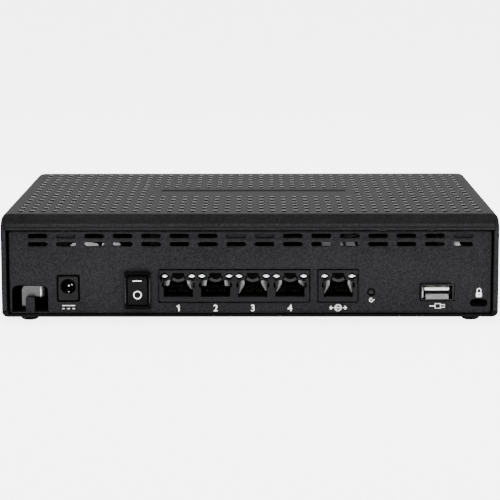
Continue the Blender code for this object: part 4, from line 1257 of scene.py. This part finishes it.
# ============================================================ roof grille
# The middle of the roof is a field of small upright slots in straight rows and
# columns, moulded through, with a plain name strip left out of three rows.
SLOT_COLUMNS, SLOT_ROWS = 41, 15
COLUMN_PITCH = 2 * 94.915 / SLOT_COLUMNS
ROW_PITCH = (GRILLE_Y[1] - GRILLE_Y[0] - 0.01) / SLOT_ROWS
HOLE_WIDE, HOLE_LONG, HOLE_EDGE, HOLE_CORNER = 1.75, 5.7, 0.42, 0.4
PLAIN_ROWS, PLAIN_HALF = (6, 7, 8), 45.0
AROUND = 24


def cell_rings():
    """One cell about its middle: rings of points from the hole's foot up its
    wall, over its rolled edge, out to the cell's border and down to its foot.
    The hole is a rectangle with round corners; the border is the cell's own."""
    turn = (np.arange(AROUND) + 0.5) / AROUND * 2 * math.pi
    x, y = np.cos(turn), np.sin(turn)
    reach = np.maximum(np.abs(x) / COLUMN_PITCH, np.abs(y) / ROW_PITCH) * 2
    corner = np.stack([x, y], 1) / reach[:, None]
    corners = np.array([[1, 1], [-1, 1], [-1, -1], [1, -1]]) * (COLUMN_PITCH, ROW_PITCH) / 2
    for spot in corners:
        nearest = np.argmin(np.linalg.norm(corner - spot, axis=1))
        corner[nearest] = spot
    hole = np.stack([x * HOLE_CORNER + (HOLE_WIDE / 2 - HOLE_CORNER) * np.sign(x),
                     y * HOLE_CORNER + (HOLE_LONG / 2 - HOLE_CORNER) * np.sign(y)], 1)
    out = hole * (1 + 2 * HOLE_EDGE / np.array([HOLE_WIDE, HOLE_LONG]))
    mid = (hole + out) / 2 + 0.35 * (hole - out) / 2
    flats = ((corner, 43.0), (hole, 43.0), (hole, 45.0 - HOLE_EDGE), (mid, 45.0 - 0.13),
             (out, 45.0), (corner, 45.0))
    return np.array([np.column_stack([ring, np.full(AROUND, z)]) for ring, z in flats])


column_x = (np.arange(SLOT_COLUMNS) - (SLOT_COLUMNS - 1) / 2) * COLUMN_PITCH
row_y = GRILLE_Y[0] + 0.005 + ROW_PITCH * (np.arange(SLOT_ROWS) + 0.5)
cell = cell_rings()
grille = []
for row, y in enumerate(row_y):
    for x in column_x:
        spot = np.array([x, y, 0.0])
        if row in PLAIN_ROWS and abs(x) < PLAIN_HALF:
            continue
        grille.append(skin(cell + spot, caps=False))
inside = np.abs(column_x) < PLAIN_HALF
half_plain = np.max(np.abs(column_x[inside])) + COLUMN_PITCH / 2
low_y, high_y = (row_y[PLAIN_ROWS[0]] - ROW_PITCH / 2, row_y[PLAIN_ROWS[-1]] + ROW_PITCH / 2)
blank = np.array([[[x, y, z] for x, y in ((-half_plain, low_y), (half_plain, low_y),
                                          (half_plain, high_y), (-half_plain, high_y))]
                  for z in (43.0, 45.0)])
grille.append(skin(blank))
# the slot chamfers that lean towards the socket side take the lighter finish: a painted highlight
refinish_faces_facing(piece("roof_grille", grille, shell_finish, angle=35.0, slot="cover_plastic"),
    rubbed_edge, (-100.0, -70.0, 45.0 - HOLE_EDGE), (100.0, 70.0, 44.999), (0.0, -1.0, 0.0))

# ============================================================ name strip
# A narrow blank bar of satin black plastic, laid on the plain strip between the
# slots and standing a few hundredths above the roof.
STRIP_LEFT, STRIP_RIGHT = -39.0, 41.5
STRIP_FROM, STRIP_TO = 3.0, 8.4      # towards the front, from the middle slot row
STRIP_BASE, STRIP_TOP = 44.9, 45.03
middle_y = row_y[SLOT_ROWS // 2]
strip_low = np.array([STRIP_LEFT, middle_y + STRIP_FROM, STRIP_BASE])
strip_high = np.array([STRIP_RIGHT, middle_y + STRIP_TO, STRIP_TOP])
piece("name_strip", [slab(strip_low, strip_high, 1.2, 0.03)],
      moulded("strip_satin", ((0.001, 0.001, 0.001), (0.003, 0.003, 0.003)), 0.8, 2.0, 0.002,
              Specular_IOR_Level=0.015))

# ============================================================ front face
# A polished black face, bowed a little, closes the shell; nine clear lamp heads
# end just below its surface.
BEZEL_BLACK = ((0.002, 0.002, 0.0025), (0.005, 0.005, 0.006))
BOW = ((3.0, 66.3), (3.0, 69.0), (3.25, 69.75), (3.9, 70.3), (5.0, 70.62), (8.0, 70.98),
       (12.0, 71.3), (16.0, 71.5), (21.0, 71.62), (22.9, 71.64), (28.0, 71.55), (33.0, 71.35),
       (38.0, 71.02), (42.0, 70.62), (43.8, 70.35), (44.55, 69.9), (44.9, 69.3), (45.0, 68.6),
       (45.0, 66.3))
LAMP_PITCH, LAMP_HALF = 12.0, 1.9
bow_z, bow_y = np.array(BOW).T
SIDE = ((3.0, 97.6), (3.3, 98.8), (4.1, 99.7), (5.2, 100.0), (36.0, 100.0), (38.6, 99.97),
        (40.2, 99.9), (41.6, 99.75), (42.8, 99.5), (43.7, 99.15), (44.35, 98.7),
        (44.75, 98.1), (44.95, 97.4), (45.0, 96.6))
edge_turn = np.linspace(0.0, math.pi / 2, 7)
x_right = [0.0]
for k in range(5):
    x_right += [LAMP_PITCH * k - LAMP_HALF, LAMP_PITCH * k + LAMP_HALF]
x_right = np.array(sorted(x for x in x_right if x > 0))
end_x = 96.6 + 3.4 * np.sin(edge_turn)
x_all = np.concatenate([x_right, end_x])
x_all = np.concatenate([-x_all[::-1], x_all])
fall = np.where(np.abs(x_all) > 96.6,
                1 - np.sqrt(np.maximum(0.0, 1 - ((np.abs(x_all) - 96.6) / 3.4) ** 2)), 0.0)


def bowed(step_in, thick):
    """The face's points: the bow in height, less a quarter-round fall near both
    ends in width, moved in and back by a wall's thickness.  Its outer halves
    are squeezed so that the ends follow the shell's side at each height."""
    half = np.interp(bow_z, *np.array(SIDE).T)[:, None]
    x = np.where(np.abs(x_all) > 50.0,
                 np.sign(x_all) * (50.0 + (np.abs(x_all) - 50.0) * (half - step_in - 50.0) / 50.0),
                 x_all)
    z = 24.0 + (bow_z - 24.0) * (21.0 - step_in) / 21.0
    front = np.maximum(bow_y[:, None] - 3.2 * fall[None, :] - thick, 66.3)
    return np.stack([x, front, np.repeat(z[:, None], x.shape[1], 1)], -1)


openings_kept = np.ones((len(bow_z) - 1, len(x_all) - 1), bool)
lamp_row = int(np.where(bow_z == 21.0)[0][0])
for k in range(-4, 5):
    column = np.where(np.isclose(x_all, LAMP_PITCH * k - LAMP_HALF))[0][0]
    openings_kept[lamp_row, column] = False
piece("front_face", [walled(bowed(0.0, 0.0), bowed(2.0, 2.0), openings_kept)],
      moulded("front_gloss", BEZEL_BLACK, 0.16, 6.0, 0.001, Coat_Weight=0.06,
              Coat_Roughness=0.06, Specular_IOR_Level=0.06),
      slot="bezel_plastic", stands_for=["front_bezel"],
      angle=30.0)
pipe_low, pipe_high = span("front_light_pipe")
heads = [slab((LAMP_PITCH * k - 1.65, 61.5, pipe_high[2] - 1.4),
              (LAMP_PITCH * k + 1.65, pipe_high[1], pipe_high[2]), 0.5, 0.2, axis=1)
         for k in range(-4, 5)]
comb = [slab((pipe_low[0], 58.0, pipe_high[2] - 1.4), (pipe_high[0], 62.0, pipe_high[2]),
             0.5, 0.2)]
comb += [slab((x - 2.0, 58.4, pipe_low[2]), (x + 2.0, 61.6, pipe_high[2] - 1.0), 0.5, 0.2)
         for x in (-45.0, 45.0)]
piece("front_lamp_bar", comb, moulded("smoked_plastic", ((0.02, 0.02, 0.02), (0.04, 0.04, 0.04)),
                                      0.3, 2.0, 0.002))
piece("front_lamps", heads, lamp_plastic, slot="front_pipe_clear",
      stands_for=["front_light_pipe"])

# ============================================================ case screws
# Four cross-head screws come up through the tray into the shell's posts.
for end in ("rear", "front"):
    for side in ("left", "right"):
        dress("case_screw_%s_%s" % (end, side), screw_zinc, 0.12)
